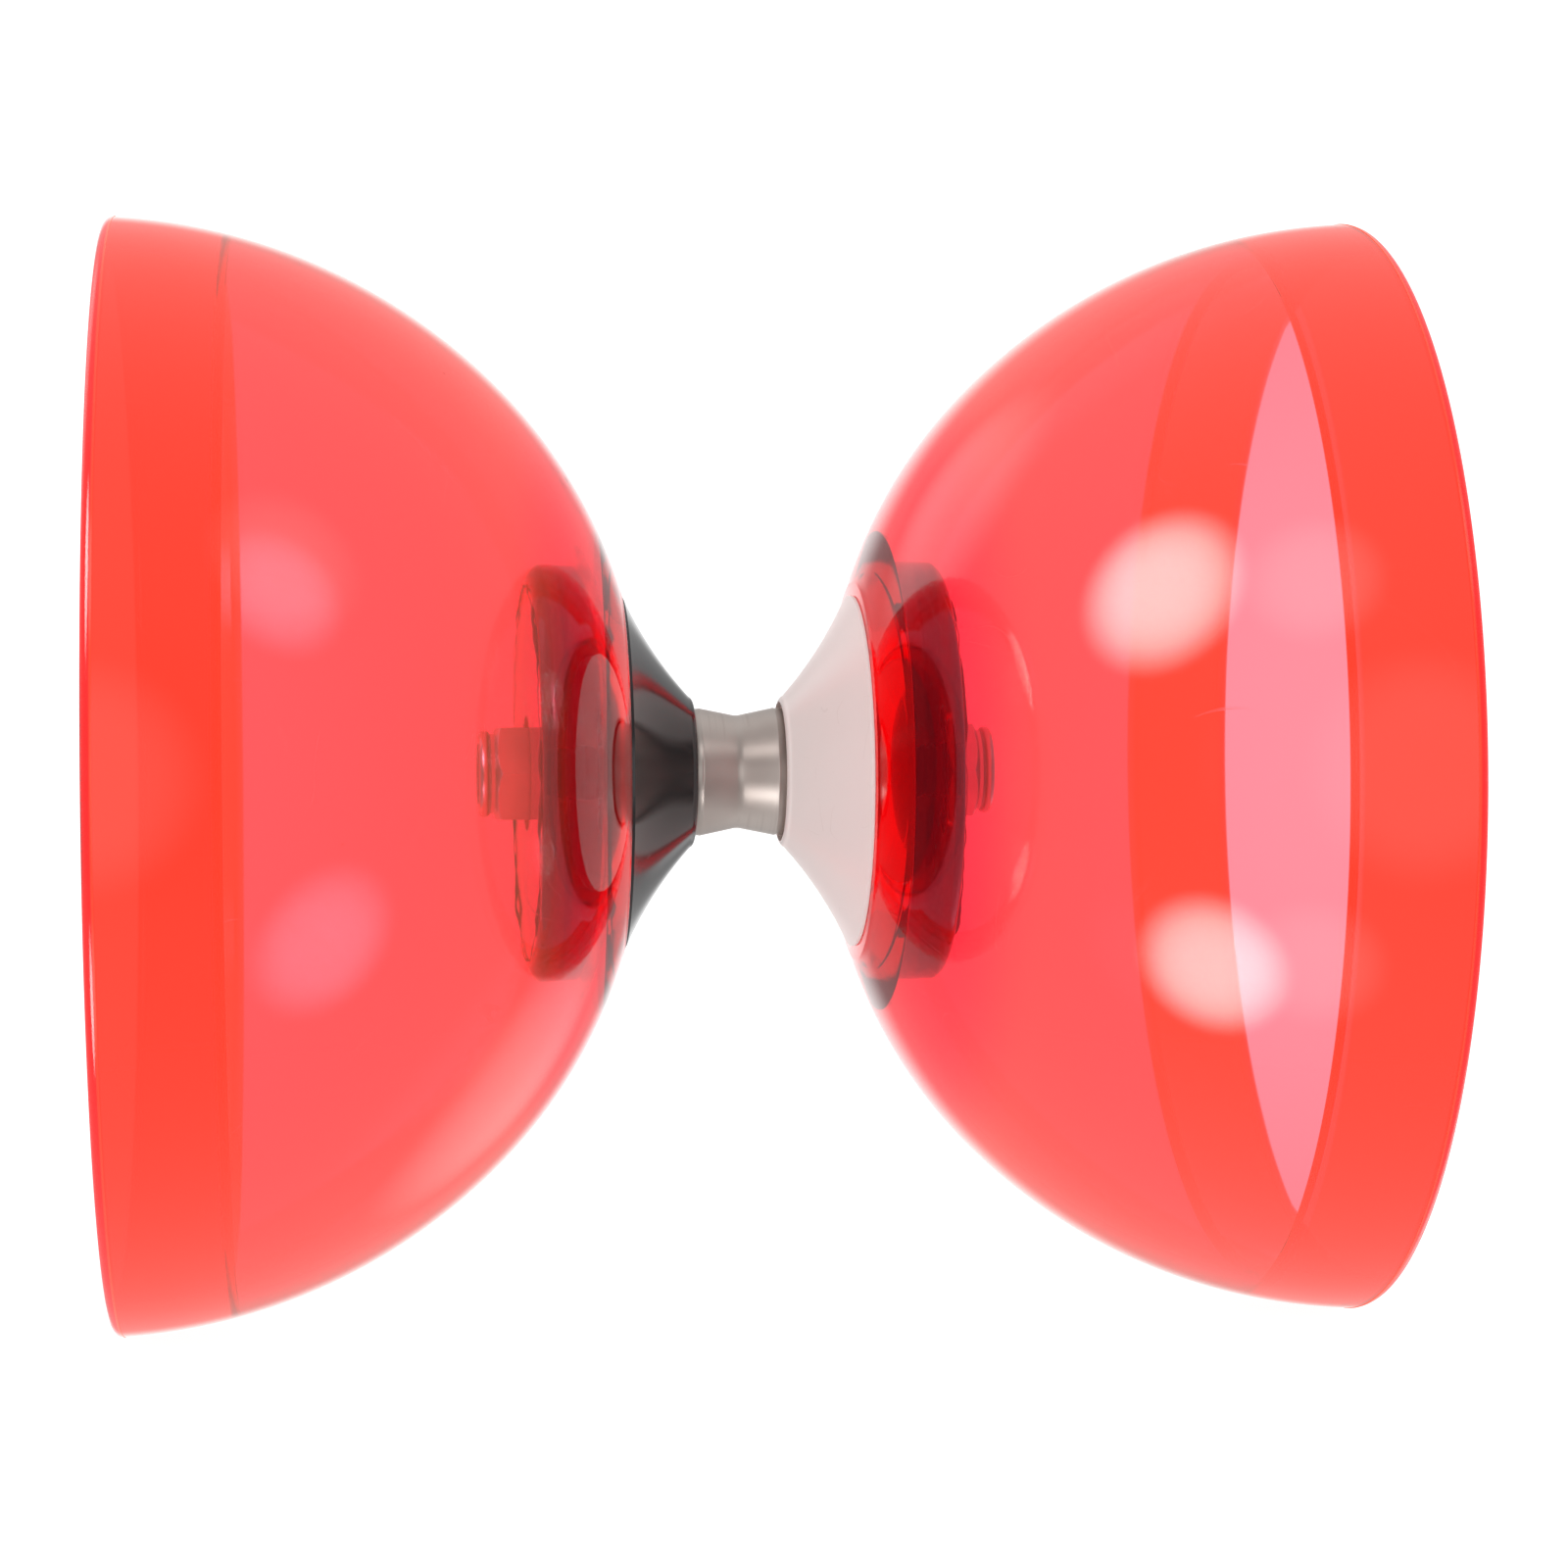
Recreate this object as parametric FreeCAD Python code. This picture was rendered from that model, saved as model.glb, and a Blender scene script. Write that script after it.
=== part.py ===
"""Bearing diabolo: two clear flexible cups on a steel axle, with a free-turning string sleeve between them.

Millimetres.  The axle lies along X with its middle at the origin, +Z is up, and the cone and cup on the +X
side are the mirror image of those on the -X side.  Every turned piece is drawn as an outline in the half
plane above the axle, as (distance along the axle, radius), and is turned round X.
"""

import FreeCAD
import Part
import math
import os
from FreeCAD import Vector

# Whole object
HALF_LENGTH = 67.5
CUP_RADIUS = 60.0

# Cup: a bowl of two tangent arcs, thicker in a band at the rim, with a solid floor at the nose
NOSE_FACE = 12.9
NOSE_EDGE_RADIUS = 20.9
BOWL_START = 13.3
BOWL_START_RADIUS = 21.7
NOSE_SLOPE = math.radians(71.0)
SHOULDER_SLOPE = math.radians(45.0)
RIM_SLOPE = math.radians(2.5)
NOSE_ARC_RADIUS = 53.5
WALL = 2.2
BAND_WALL = 3.5
BAND_WIDTH = 12.4
BAND_STEP = 0.35
RIM_ROUND = 1.15
FLOOR_FACE = 17.1
CUP_BORE_RADIUS = 13.55

# Hub plate, bonded to the cup's floor
PLATE_RADIUS = 22.9
PLATE_FACE = 17.15
PLATE_BACK = 22.15
PLATE_BORE_RADIUS = 3.1
PLATE_BEVEL = 0.45
PLATE_CROWN_START = 21.5
PLATE_CROWN_FACE = 22.75
PLATE_CROWN_RADIUS = 20.6
PLATE_SEAT_RADIUS = 6.3

# Cone: a flared collar that guides the string, with a spigot through the cup's floor
CONE_TIP = 4.8
CONE_TIP_RADIUS = 8.1
CONE_TIP_ROUND = 0.45
CONE_LIP_RADIUS = 7.65
CONE_LIP_DEPTH = 0.6
CONE_FLARE_MIDDLE = (9.15, 13.35)
CONE_EDGE_RADIUS = 19.3
CONE_EDGE_THICKNESS = 0.4
CONE_SOCKET_RADIUS = 7.25
CONE_SOCKET_FLOOR = 9.6
CONE_BORE_RADIUS = 3.05
SPIGOT_RADIUS = 13.5

# Washer between spigot and plate (M6 flat washer)
WASHER_RADIUS = 6.0
WASHER_BORE_RADIUS = 3.2
WASHER_THICKNESS = 1.0
WASHER_POCKET_RADIUS = 6.1

# Axle stud, 6 mm with M6 ends
STUD_RADIUS = 3.0
STUD_THREAD_RADIUS = 2.94
STUD_END = 28.0
STUD_CHAMFER = 0.7
STUD_RELIEF = 0.8

# Self-locking nut M6: hexagon, rounded collar and nylon insert
NUT_ACROSS_FLATS = 10.0
NUT_HEX_HEIGHT = 4.3
NUT_HEIGHT = 6.05
NUT_BORE_RADIUS = 3.0
NUT_CHAMFER_SLOPE = math.radians(28.0)
NUT_WASHER_FACE_RADIUS = 4.7
NUT_NECK_RADIUS = 4.35
NUT_COLLAR_RADIUS = 4.75
NUT_COLLAR_LIP_RADIUS = 3.3
INSERT_RADIUS = 4.0
INSERT_BORE_RADIUS = 2.97
INSERT_START = 4.35
INSERT_END = 5.6

# String sleeve, with its V-shaped groove
SLEEVE_HALF_LENGTH = 9.3
SLEEVE_BORE_RADIUS = 5.0
SLEEVE_LAND_RADIUS = 6.95
SLEEVE_GROOVE_RADIUS = 7.0
SLEEVE_GROOVE_HALF_WIDTH = 4.1
SLEEVE_WAIST_RADIUS = 6.15
SLEEVE_WAIST_BLEND = 0.45
SLEEVE_EDGE_BREAK = 0.15

# Ball bearings 6 x 10 x 3
BEARING_START = 6.1
BEARING_WIDTH = 3.0
BEARING_OUTER_RADIUS = 4.99
BEARING_INNER_RADIUS = 3.01
OUTER_LAND_RADIUS = 4.36
INNER_LAND_RADIUS = 3.64
BALL_RADIUS = 0.5
BALL_PITCH_RADIUS = 4.0
BALL_COUNT = 13
RACE_RADIUS = 0.53
CAGE_INNER_RADIUS = 3.8
CAGE_OUTER_RADIUS = 4.2
CAGE_HALF_WIDTH = 0.72
CAGE_POCKET_RADIUS = 0.54
SHIELD_INNER_RADIUS = 3.74
SHIELD_OUTER_RADIUS = 4.34
SHIELD_THICKNESS = 0.15
SHIELD_INSET = 0.1

# Spacer ring that carries the cone's load to the inner ring
SPACER_INNER_RADIUS = 3.05
SPACER_OUTER_RADIUS = 3.6

# One-way roller clutch 6 x 10 x 12
CLUTCH_HALF_WIDTH = 6.0
CLUTCH_OUTER_RADIUS = 4.99
CLUTCH_INNER_RADIUS = 4.45
CLUTCH_END_LIP_RADIUS = 3.4
CLUTCH_END_LIP_THICKNESS = 0.35
ROLLER_RADIUS = 0.8
ROLLER_HALF_LENGTH = 4.0
ROLLER_CLEARANCE = 0.02
ROLLER_COUNT = 8
RAMP_POCKET_RADIUS = 0.86
RAMP_TURN = math.radians(5.0)
RAMP_RISE = 0.07
CLUTCH_CAGE_INNER_RADIUS = 3.12
CLUTCH_CAGE_OUTER_RADIUS = 4.38
CLUTCH_CAGE_HALF_WIDTH = 5.4
CLUTCH_CAGE_POCKET_MARGIN = 0.12
SPRING_THICKNESS = 0.12
SPRING_HEIGHT = 0.8
SPRING_LENGTH = 6.0
SPRING_TURN = math.radians(17.0)

AXIS = Vector(1, 0, 0)
CENTRE = Vector(0, 0, 0)


class Outline:
    """A closed outline in the half plane above the axle, drawn from point to point."""

    def __init__(self, x, radius):
        self.first = Vector(x, 0, radius)
        self.here = self.first
        self.edges = []

    def to(self, x, radius):
        """Draws a straight edge to the point."""
        end = Vector(x, 0, radius)
        self.edges.append(Part.LineSegment(self.here, end).toShape())
        self.here = end
        return self

    def bend(self, middle, end):
        """Draws an arc through the middle point to the end point."""
        through = Vector(middle[0], 0, middle[1])
        last = Vector(end[0], 0, end[1])
        self.edges.append(Part.Arc(self.here, through, last).toShape())
        self.here = last
        return self

    def turned(self):
        """Closes the outline and turns it round the axle into a solid."""
        if self.here.distanceToPoint(self.first) > 1e-9:
            self.edges.append(Part.LineSegment(self.here, self.first).toShape())
        face = Part.Face(Part.Wire(self.edges))
        return face.revolve(CENTRE, AXIS, 360.0)


class Arc:
    """A stretch of bowl outline: a circle about a centre, met where the wall has a given slope."""

    def __init__(self, centre_x, centre_radius, radius):
        self.centre_x = centre_x
        self.centre_radius = centre_radius
        self.radius = radius

    def inside(self, depth):
        """The same stretch, a wall's depth further in."""
        return Arc(self.centre_x, self.centre_radius, self.radius - depth)

    def at_slope(self, slope):
        """The point where the wall has this slope."""
        return (
            self.centre_x - self.radius * math.sin(slope),
            self.centre_radius + self.radius * math.cos(slope),
        )

    def slope_at(self, x):
        """The wall's slope at this distance along the axle."""
        return math.asin((self.centre_x - x) / self.radius)


def nose_arc():
    """The bowl's arc nearer to the nose."""
    return Arc(
        BOWL_START + NOSE_ARC_RADIUS * math.sin(NOSE_SLOPE),
        BOWL_START_RADIUS - NOSE_ARC_RADIUS * math.cos(NOSE_SLOPE),
        NOSE_ARC_RADIUS,
    )


def rim_arc():
    """The bowl's arc nearer to the rim: tangent to the nose's arc, and as large as the rim asks."""
    join_x, join_radius = nose_arc().at_slope(SHOULDER_SLOPE)
    rise = math.cos(RIM_SLOPE) - math.cos(SHOULDER_SLOPE)
    rim_start_radius = CUP_RADIUS - (HALF_LENGTH - join_x) * 0.001
    radius = (rim_start_radius - join_radius) / rise
    return Arc(
        join_x + radius * math.sin(SHOULDER_SLOPE),
        join_radius - radius * math.cos(SHOULDER_SLOPE),
        radius,
    )


def ring(start, end, inner, outer):
    """A plain ring."""
    outline = Outline(start, inner)
    outline.to(start, outer)
    outline.to(end, outer)
    outline.to(end, inner)
    return outline.turned()


def mirrored(shape):
    """The same shape on the other side of the string groove."""
    return shape.mirror(CENTRE, AXIS)


def turned_about_axle(shape, angle):
    """A copy of the shape, turned round the axle by an angle in radians."""
    copy = shape.copy()
    copy.rotate(CENTRE, AXIS, math.degrees(angle))
    return copy


def spread(shape, count):
    """Copies of the shape, evenly spaced round the axle."""
    return [turned_about_axle(shape, 2 * math.pi * i / count) for i in range(count)]


def cup():
    """The clear cup on the +X side."""
    nose = nose_arc()
    rim = rim_arc()
    inner_nose = nose.inside(WALL)
    inner_rim = rim.inside(WALL)
    band = rim.inside(BAND_WALL)
    band_x = HALF_LENGTH - BAND_WIDTH
    floor_slope = inner_nose.slope_at(FLOOR_FACE)
    step_slope = inner_rim.slope_at(band_x)
    band_slope = band.slope_at(band_x + BAND_STEP)
    end_slope = band.slope_at(HALF_LENGTH - RIM_ROUND)
    band_end_radius = band.at_slope(end_slope)[1]

    outline = Outline(NOSE_FACE, CUP_BORE_RADIUS)
    outline.to(NOSE_FACE, NOSE_EDGE_RADIUS)
    outline.to(BOWL_START, BOWL_START_RADIUS)
    outline.bend(nose.at_slope((NOSE_SLOPE + SHOULDER_SLOPE) / 2), nose.at_slope(SHOULDER_SLOPE))
    outline.bend(rim.at_slope((SHOULDER_SLOPE + RIM_SLOPE) / 2), rim.at_slope(RIM_SLOPE))
    outline.to(HALF_LENGTH - RIM_ROUND, CUP_RADIUS)
    rounded_corner(outline, (HALF_LENGTH, CUP_RADIUS - RIM_ROUND), (1, 1))
    outline.to(HALF_LENGTH, band_end_radius + RIM_ROUND)
    rounded_corner(outline, (HALF_LENGTH - RIM_ROUND, band_end_radius), (1, -1))
    outline.bend(band.at_slope((end_slope + band_slope) / 2), band.at_slope(band_slope))
    outline.to(*inner_rim.at_slope(step_slope))
    outline.bend(inner_rim.at_slope((step_slope + SHOULDER_SLOPE) / 2), inner_rim.at_slope(SHOULDER_SLOPE))
    outline.bend(inner_nose.at_slope((SHOULDER_SLOPE + floor_slope) / 2), inner_nose.at_slope(floor_slope))
    outline.to(FLOOR_FACE, CUP_BORE_RADIUS)
    return outline.turned()


def rounded_corner(outline, end, outward):
    """Draws a quarter round to the end point, bulging towards (outward x, outward radius)."""
    start_x = outline.here.x
    start_radius = outline.here.z
    size = abs(end[0] - start_x)
    if outward[1] > 0:
        centre = (min(start_x, end[0]), min(start_radius, end[1]))
    else:
        centre = (min(start_x, end[0]), max(start_radius, end[1]))
    diagonal = size / math.sqrt(2)
    middle = (centre[0] + outward[0] * diagonal, centre[1] + outward[1] * diagonal)
    outline.bend(middle, end)


def hub_plate():
    """The thick clear disc that the nut presses against the cup's floor, with a sunk seat for the nut."""
    outline = Outline(PLATE_FACE, PLATE_BORE_RADIUS)
    outline.to(PLATE_FACE, PLATE_RADIUS - PLATE_BEVEL)
    outline.to(PLATE_FACE + PLATE_BEVEL, PLATE_RADIUS)
    outline.to(PLATE_CROWN_START, PLATE_RADIUS)
    outline.bend(
        (PLATE_CROWN_FACE - 0.38, PLATE_CROWN_RADIUS + 1.5),
        (PLATE_CROWN_FACE, PLATE_CROWN_RADIUS),
    )
    outline.to(PLATE_CROWN_FACE, PLATE_SEAT_RADIUS)
    outline.to(PLATE_BACK, PLATE_SEAT_RADIUS)
    outline.to(PLATE_BACK, PLATE_BORE_RADIUS)
    return outline.turned()


def cone():
    """The flared collar: lip round the sleeve's end, concave flare, spigot and washer pocket."""
    spigot_end = PLATE_FACE - 0.05
    pocket_floor = spigot_end - WASHER_THICKNESS
    tip_round_end = (CONE_TIP + CONE_TIP_ROUND, CONE_TIP_RADIUS + 0.25)
    tip_round_middle = (CONE_TIP + 0.14, CONE_TIP_RADIUS - 0.02)
    flare_end = (NOSE_FACE - CONE_EDGE_THICKNESS, CONE_EDGE_RADIUS)

    outline = Outline(CONE_TIP, CONE_LIP_RADIUS)
    outline.bend(tip_round_middle, tip_round_end)
    outline.bend(CONE_FLARE_MIDDLE, flare_end)
    outline.to(NOSE_FACE, CONE_EDGE_RADIUS)
    outline.to(NOSE_FACE, SPIGOT_RADIUS)
    outline.to(spigot_end, SPIGOT_RADIUS)
    outline.to(spigot_end, WASHER_POCKET_RADIUS)
    outline.to(pocket_floor, WASHER_POCKET_RADIUS)
    outline.to(pocket_floor, CONE_BORE_RADIUS)
    outline.to(CONE_SOCKET_FLOOR, CONE_BORE_RADIUS)
    outline.to(CONE_SOCKET_FLOOR, CONE_SOCKET_RADIUS)
    outline.to(CONE_TIP + CONE_LIP_DEPTH, CONE_SOCKET_RADIUS)
    outline.to(CONE_TIP + CONE_LIP_DEPTH, CONE_LIP_RADIUS)
    return outline.turned()


def washer():
    """The flat washer in the spigot's pocket, against the plate."""
    end = PLATE_FACE - 0.05
    return ring(end - WASHER_THICKNESS, end, WASHER_BORE_RADIUS, WASHER_RADIUS)


def axle_stud():
    """The hardened axle, with a smaller threaded length, a relief and a chamfer at each end."""
    outline = Outline(-STUD_END, 0.0)
    outline.to(-STUD_END, STUD_THREAD_RADIUS - STUD_CHAMFER)
    outline.to(-STUD_END + STUD_CHAMFER, STUD_THREAD_RADIUS)
    outline.to(-PLATE_FACE - STUD_RELIEF, STUD_THREAD_RADIUS)
    outline.to(-PLATE_FACE, STUD_RADIUS)
    outline.to(PLATE_FACE, STUD_RADIUS)
    outline.to(PLATE_FACE + STUD_RELIEF, STUD_THREAD_RADIUS)
    outline.to(STUD_END - STUD_CHAMFER, STUD_THREAD_RADIUS)
    outline.to(STUD_END, STUD_THREAD_RADIUS - STUD_CHAMFER)
    outline.to(STUD_END, 0.0)
    return outline.turned()


def hexagon_prism(start, height, across_flats):
    """A hexagonal bar along the axle, with flats at the top and the bottom."""
    corner_radius = across_flats / math.sqrt(3)
    corners = []
    for i in range(7):
        angle = math.pi * i / 3
        corners.append(Vector(start, corner_radius * math.cos(angle), corner_radius * math.sin(angle)))
    return Part.Face(Part.makePolygon(corners)).extrude(Vector(height, 0, 0))


def nut_hexagon():
    """The nut's hexagon, with its corners chamfered towards both ends."""
    prism = hexagon_prism(PLATE_BACK, NUT_HEX_HEIGHT, NUT_ACROSS_FLATS)
    corner_radius = NUT_ACROSS_FLATS / math.sqrt(3) + 0.1
    run = (corner_radius - NUT_WASHER_FACE_RADIUS) * math.tan(NUT_CHAMFER_SLOPE)
    end = PLATE_BACK + NUT_HEX_HEIGHT
    outline = Outline(PLATE_BACK, 0.0)
    outline.to(PLATE_BACK, NUT_WASHER_FACE_RADIUS)
    outline.to(PLATE_BACK + run, corner_radius)
    outline.to(end - run, corner_radius)
    outline.to(end, NUT_WASHER_FACE_RADIUS)
    outline.to(end, 0.0)
    return prism.common(outline.turned())


def nut_collar():
    """The nut's rounded collar, rolled in over the insert."""
    start = PLATE_BACK + NUT_HEX_HEIGHT - 0.2
    end = PLATE_BACK + NUT_HEIGHT
    bead = 0.62
    outline = Outline(start, 0.0)
    outline.to(start, NUT_NECK_RADIUS)
    outline.to(end - 2 * bead, NUT_NECK_RADIUS)
    outline.bend((end - bead, NUT_COLLAR_RADIUS), (end, NUT_NECK_RADIUS - 0.25))
    outline.to(end, 0.0)
    return outline.turned()


def lock_nut():
    """The self-locking nut's metal body."""
    end = PLATE_BACK + NUT_HEIGHT
    body = nut_hexagon().fuse(nut_collar())
    outline = Outline(PLATE_BACK - 1, 0.0)
    outline.to(PLATE_BACK - 1, NUT_BORE_RADIUS)
    outline.to(PLATE_BACK + INSERT_START, NUT_BORE_RADIUS)
    outline.to(PLATE_BACK + INSERT_START, INSERT_RADIUS)
    outline.to(PLATE_BACK + INSERT_END, INSERT_RADIUS)
    outline.to(PLATE_BACK + INSERT_END, NUT_COLLAR_LIP_RADIUS)
    outline.to(end + 1, NUT_COLLAR_LIP_RADIUS)
    outline.to(end + 1, 0.0)
    return body.cut(outline.turned())


def nut_insert():
    """The nylon ring that locks the nut on the thread."""
    start = PLATE_BACK + INSERT_START
    end = PLATE_BACK + INSERT_END
    return ring(start, end, INSERT_BORE_RADIUS, INSERT_RADIUS)


def string_sleeve():
    """The turned steel sleeve that the string runs on: two tapers that meet in a softly rounded waist."""
    slope = (SLEEVE_GROOVE_RADIUS - SLEEVE_WAIST_RADIUS) / SLEEVE_GROOVE_HALF_WIDTH
    blend_radius = SLEEVE_WAIST_RADIUS + slope * SLEEVE_WAIST_BLEND
    waist_bottom = SLEEVE_WAIST_RADIUS + slope * SLEEVE_WAIST_BLEND / 2
    edge = SLEEVE_GROOVE_HALF_WIDTH + SLEEVE_EDGE_BREAK

    outline = Outline(-SLEEVE_HALF_LENGTH, SLEEVE_BORE_RADIUS)
    outline.to(-SLEEVE_HALF_LENGTH, SLEEVE_LAND_RADIUS - SLEEVE_EDGE_BREAK)
    outline.to(-SLEEVE_HALF_LENGTH + SLEEVE_EDGE_BREAK, SLEEVE_LAND_RADIUS)
    outline.to(-edge, SLEEVE_LAND_RADIUS)
    outline.to(-SLEEVE_GROOVE_HALF_WIDTH, SLEEVE_GROOVE_RADIUS)
    outline.to(-SLEEVE_WAIST_BLEND, blend_radius)
    outline.bend((0.0, waist_bottom), (SLEEVE_WAIST_BLEND, blend_radius))
    outline.to(SLEEVE_GROOVE_HALF_WIDTH, SLEEVE_GROOVE_RADIUS)
    outline.to(edge, SLEEVE_LAND_RADIUS)
    outline.to(SLEEVE_HALF_LENGTH - SLEEVE_EDGE_BREAK, SLEEVE_LAND_RADIUS)
    outline.to(SLEEVE_HALF_LENGTH, SLEEVE_LAND_RADIUS - SLEEVE_EDGE_BREAK)
    outline.to(SLEEVE_HALF_LENGTH, SLEEVE_BORE_RADIUS)
    return outline.turned()


def race_groove():
    """The ring-shaped track that the balls run in."""
    middle = BEARING_START + BEARING_WIDTH / 2
    return Part.makeTorus(BALL_PITCH_RADIUS, RACE_RADIUS, Vector(middle, 0, 0), AXIS)


def bearing_outer_ring():
    """The bearing's outer ring, pressed into the sleeve."""
    end = BEARING_START + BEARING_WIDTH
    return ring(BEARING_START, end, OUTER_LAND_RADIUS, BEARING_OUTER_RADIUS).cut(race_groove())


def bearing_inner_ring():
    """The bearing's inner ring, on the axle."""
    end = BEARING_START + BEARING_WIDTH
    return ring(BEARING_START, end, BEARING_INNER_RADIUS, INNER_LAND_RADIUS).cut(race_groove())


def ball_centre():
    """Where the first ball sits."""
    return Vector(BEARING_START + BEARING_WIDTH / 2, 0, BALL_PITCH_RADIUS)


def bearing_balls():
    """The ring of balls, each a solid of its own."""
    ball = Part.makeSphere(BALL_RADIUS, ball_centre())
    return Part.makeCompound(spread(ball, BALL_COUNT))


def bearing_cage():
    """The cage that keeps the balls apart."""
    middle = BEARING_START + BEARING_WIDTH / 2
    band = ring(middle - CAGE_HALF_WIDTH, middle + CAGE_HALF_WIDTH, CAGE_INNER_RADIUS, CAGE_OUTER_RADIUS)
    pocket = Part.makeSphere(CAGE_POCKET_RADIUS, ball_centre())
    for hole in spread(pocket, BALL_COUNT):
        band = band.cut(hole)
    return band


def bearing_shields():
    """The two thin shields in the outer ring's faces."""
    near = BEARING_START + SHIELD_INSET
    far = BEARING_START + BEARING_WIDTH - SHIELD_INSET
    shields = [
        ring(near, near + SHIELD_THICKNESS, SHIELD_INNER_RADIUS, SHIELD_OUTER_RADIUS),
        ring(far - SHIELD_THICKNESS, far, SHIELD_INNER_RADIUS, SHIELD_OUTER_RADIUS),
    ]
    return Part.makeCompound(shields)


def spacer():
    """The spacer ring between the cone's socket floor and the bearing's inner ring."""
    return ring(BEARING_START + BEARING_WIDTH, CONE_SOCKET_FLOOR, SPACER_INNER_RADIUS, SPACER_OUTER_RADIUS)


def roller_rod(radius, half_length, rise, turn):
    """A cylinder beside the axle where a roller runs, lifted by rise and turned round the axle by turn."""
    height = STUD_RADIUS + ROLLER_CLEARANCE + ROLLER_RADIUS + rise
    rod = Part.makeCylinder(radius, 2 * half_length, Vector(-half_length, 0, height), AXIS)
    return turned_about_axle(rod, turn)


def clutch_shell():
    """The clutch's drawn shell, with inturned ends and a ramp over each roller."""
    outline = Outline(-CLUTCH_HALF_WIDTH, CLUTCH_END_LIP_RADIUS)
    outline.to(-CLUTCH_HALF_WIDTH, CLUTCH_OUTER_RADIUS)
    outline.to(CLUTCH_HALF_WIDTH, CLUTCH_OUTER_RADIUS)
    outline.to(CLUTCH_HALF_WIDTH, CLUTCH_END_LIP_RADIUS)
    outline.to(CLUTCH_HALF_WIDTH - CLUTCH_END_LIP_THICKNESS, CLUTCH_END_LIP_RADIUS)
    outline.to(CLUTCH_HALF_WIDTH - CLUTCH_END_LIP_THICKNESS, CLUTCH_INNER_RADIUS)
    outline.to(-CLUTCH_HALF_WIDTH + CLUTCH_END_LIP_THICKNESS, CLUTCH_INNER_RADIUS)
    outline.to(-CLUTCH_HALF_WIDTH + CLUTCH_END_LIP_THICKNESS, CLUTCH_END_LIP_RADIUS)
    shell = outline.turned()
    pocket_half_length = ROLLER_HALF_LENGTH + 0.1
    tight = roller_rod(RAMP_POCKET_RADIUS, pocket_half_length, 0.0, 0.0)
    loose = roller_rod(RAMP_POCKET_RADIUS, pocket_half_length, RAMP_RISE, RAMP_TURN)
    for pocket in spread(tight, ROLLER_COUNT) + spread(loose, ROLLER_COUNT):
        shell = shell.cut(pocket)
    return shell


def clutch_rollers():
    """The needle rollers that run on the axle."""
    roller = roller_rod(ROLLER_RADIUS, ROLLER_HALF_LENGTH, 0.0, 0.0)
    return Part.makeCompound(spread(roller, ROLLER_COUNT))


def spring_leaf(margin):
    """The space of one leaf spring beside its roller, grown by a margin all round."""
    height = SPRING_HEIGHT + 2 * margin
    thickness = SPRING_THICKNESS + 2 * margin
    length = SPRING_LENGTH + 2 * margin
    middle = (CLUTCH_CAGE_INNER_RADIUS + CLUTCH_CAGE_OUTER_RADIUS) / 2
    corner = Vector(-length / 2, -thickness / 2, middle - height / 2)
    leaf = Part.makeBox(length, thickness, height, corner)
    return turned_about_axle(leaf, SPRING_TURN)


def clutch_cage():
    """The moulded cage between the rollers, with a slot for each leaf spring."""
    cage = ring(
        -CLUTCH_CAGE_HALF_WIDTH,
        CLUTCH_CAGE_HALF_WIDTH,
        CLUTCH_CAGE_INNER_RADIUS,
        CLUTCH_CAGE_OUTER_RADIUS,
    )
    margin = CLUTCH_CAGE_POCKET_MARGIN
    roller_pocket = roller_rod(ROLLER_RADIUS + margin, ROLLER_HALF_LENGTH + margin, 0.0, 0.0)
    spring_pocket = spring_leaf(margin / 2)
    for pocket in spread(roller_pocket, ROLLER_COUNT) + spread(spring_pocket, ROLLER_COUNT):
        cage = cage.cut(pocket)
    return cage


def clutch_springs():
    """The leaf springs that push the rollers up their ramps."""
    return Part.makeCompound(spread(spring_leaf(0.0), ROLLER_COUNT))


PAIRED_PIECES = {
    "cup": cup,
    "hub_plate": hub_plate,
    "cone": cone,
    "washer": washer,
    "lock_nut": lock_nut,
    "nut_insert": nut_insert,
    "bearing_outer_ring": bearing_outer_ring,
    "bearing_inner_ring": bearing_inner_ring,
    "bearing_balls": bearing_balls,
    "bearing_cage": bearing_cage,
    "bearing_shields": bearing_shields,
    "bearing_spacer": spacer,
}

MIDDLE_PIECES = {
    "axle_stud": axle_stud,
    "string_sleeve": string_sleeve,
    "clutch_shell": clutch_shell,
    "clutch_rollers": clutch_rollers,
    "clutch_cage": clutch_cage,
    "clutch_springs": clutch_springs,
}


def save(name, shape):
    """Writes one piece to its STEP file and prints its volume."""
    shape.exportStep(f"parts/{name}.step")
    print(f"{name}: {len(shape.Solids)} solids, {shape.Volume:.2f} mm3, valid {shape.isValid()}")


def main():
    """Builds every piece and writes it."""
    os.makedirs("parts", exist_ok=True)
    for name, build in PAIRED_PIECES.items():
        shape = build()
        save(f"right_{name}", shape)
        save(f"left_{name}", mirrored(shape))
    for name, build in MIDDLE_PIECES.items():
        save(name, build())


main()
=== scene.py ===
"""A bearing diabolo: clear red cups, a black and a white cone, and a turned steel sleeve on a bolted axle.

A turned piece is an outline in the half plane above the axle, which one Geometry Nodes tree turns round X.
Outlines are drawn for the right side, in millimetres, and become metres in the meshes.
"""

import logging
import math
from dataclasses import dataclass, field
from enum import Enum
from typing import Iterable, Sequence

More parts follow.
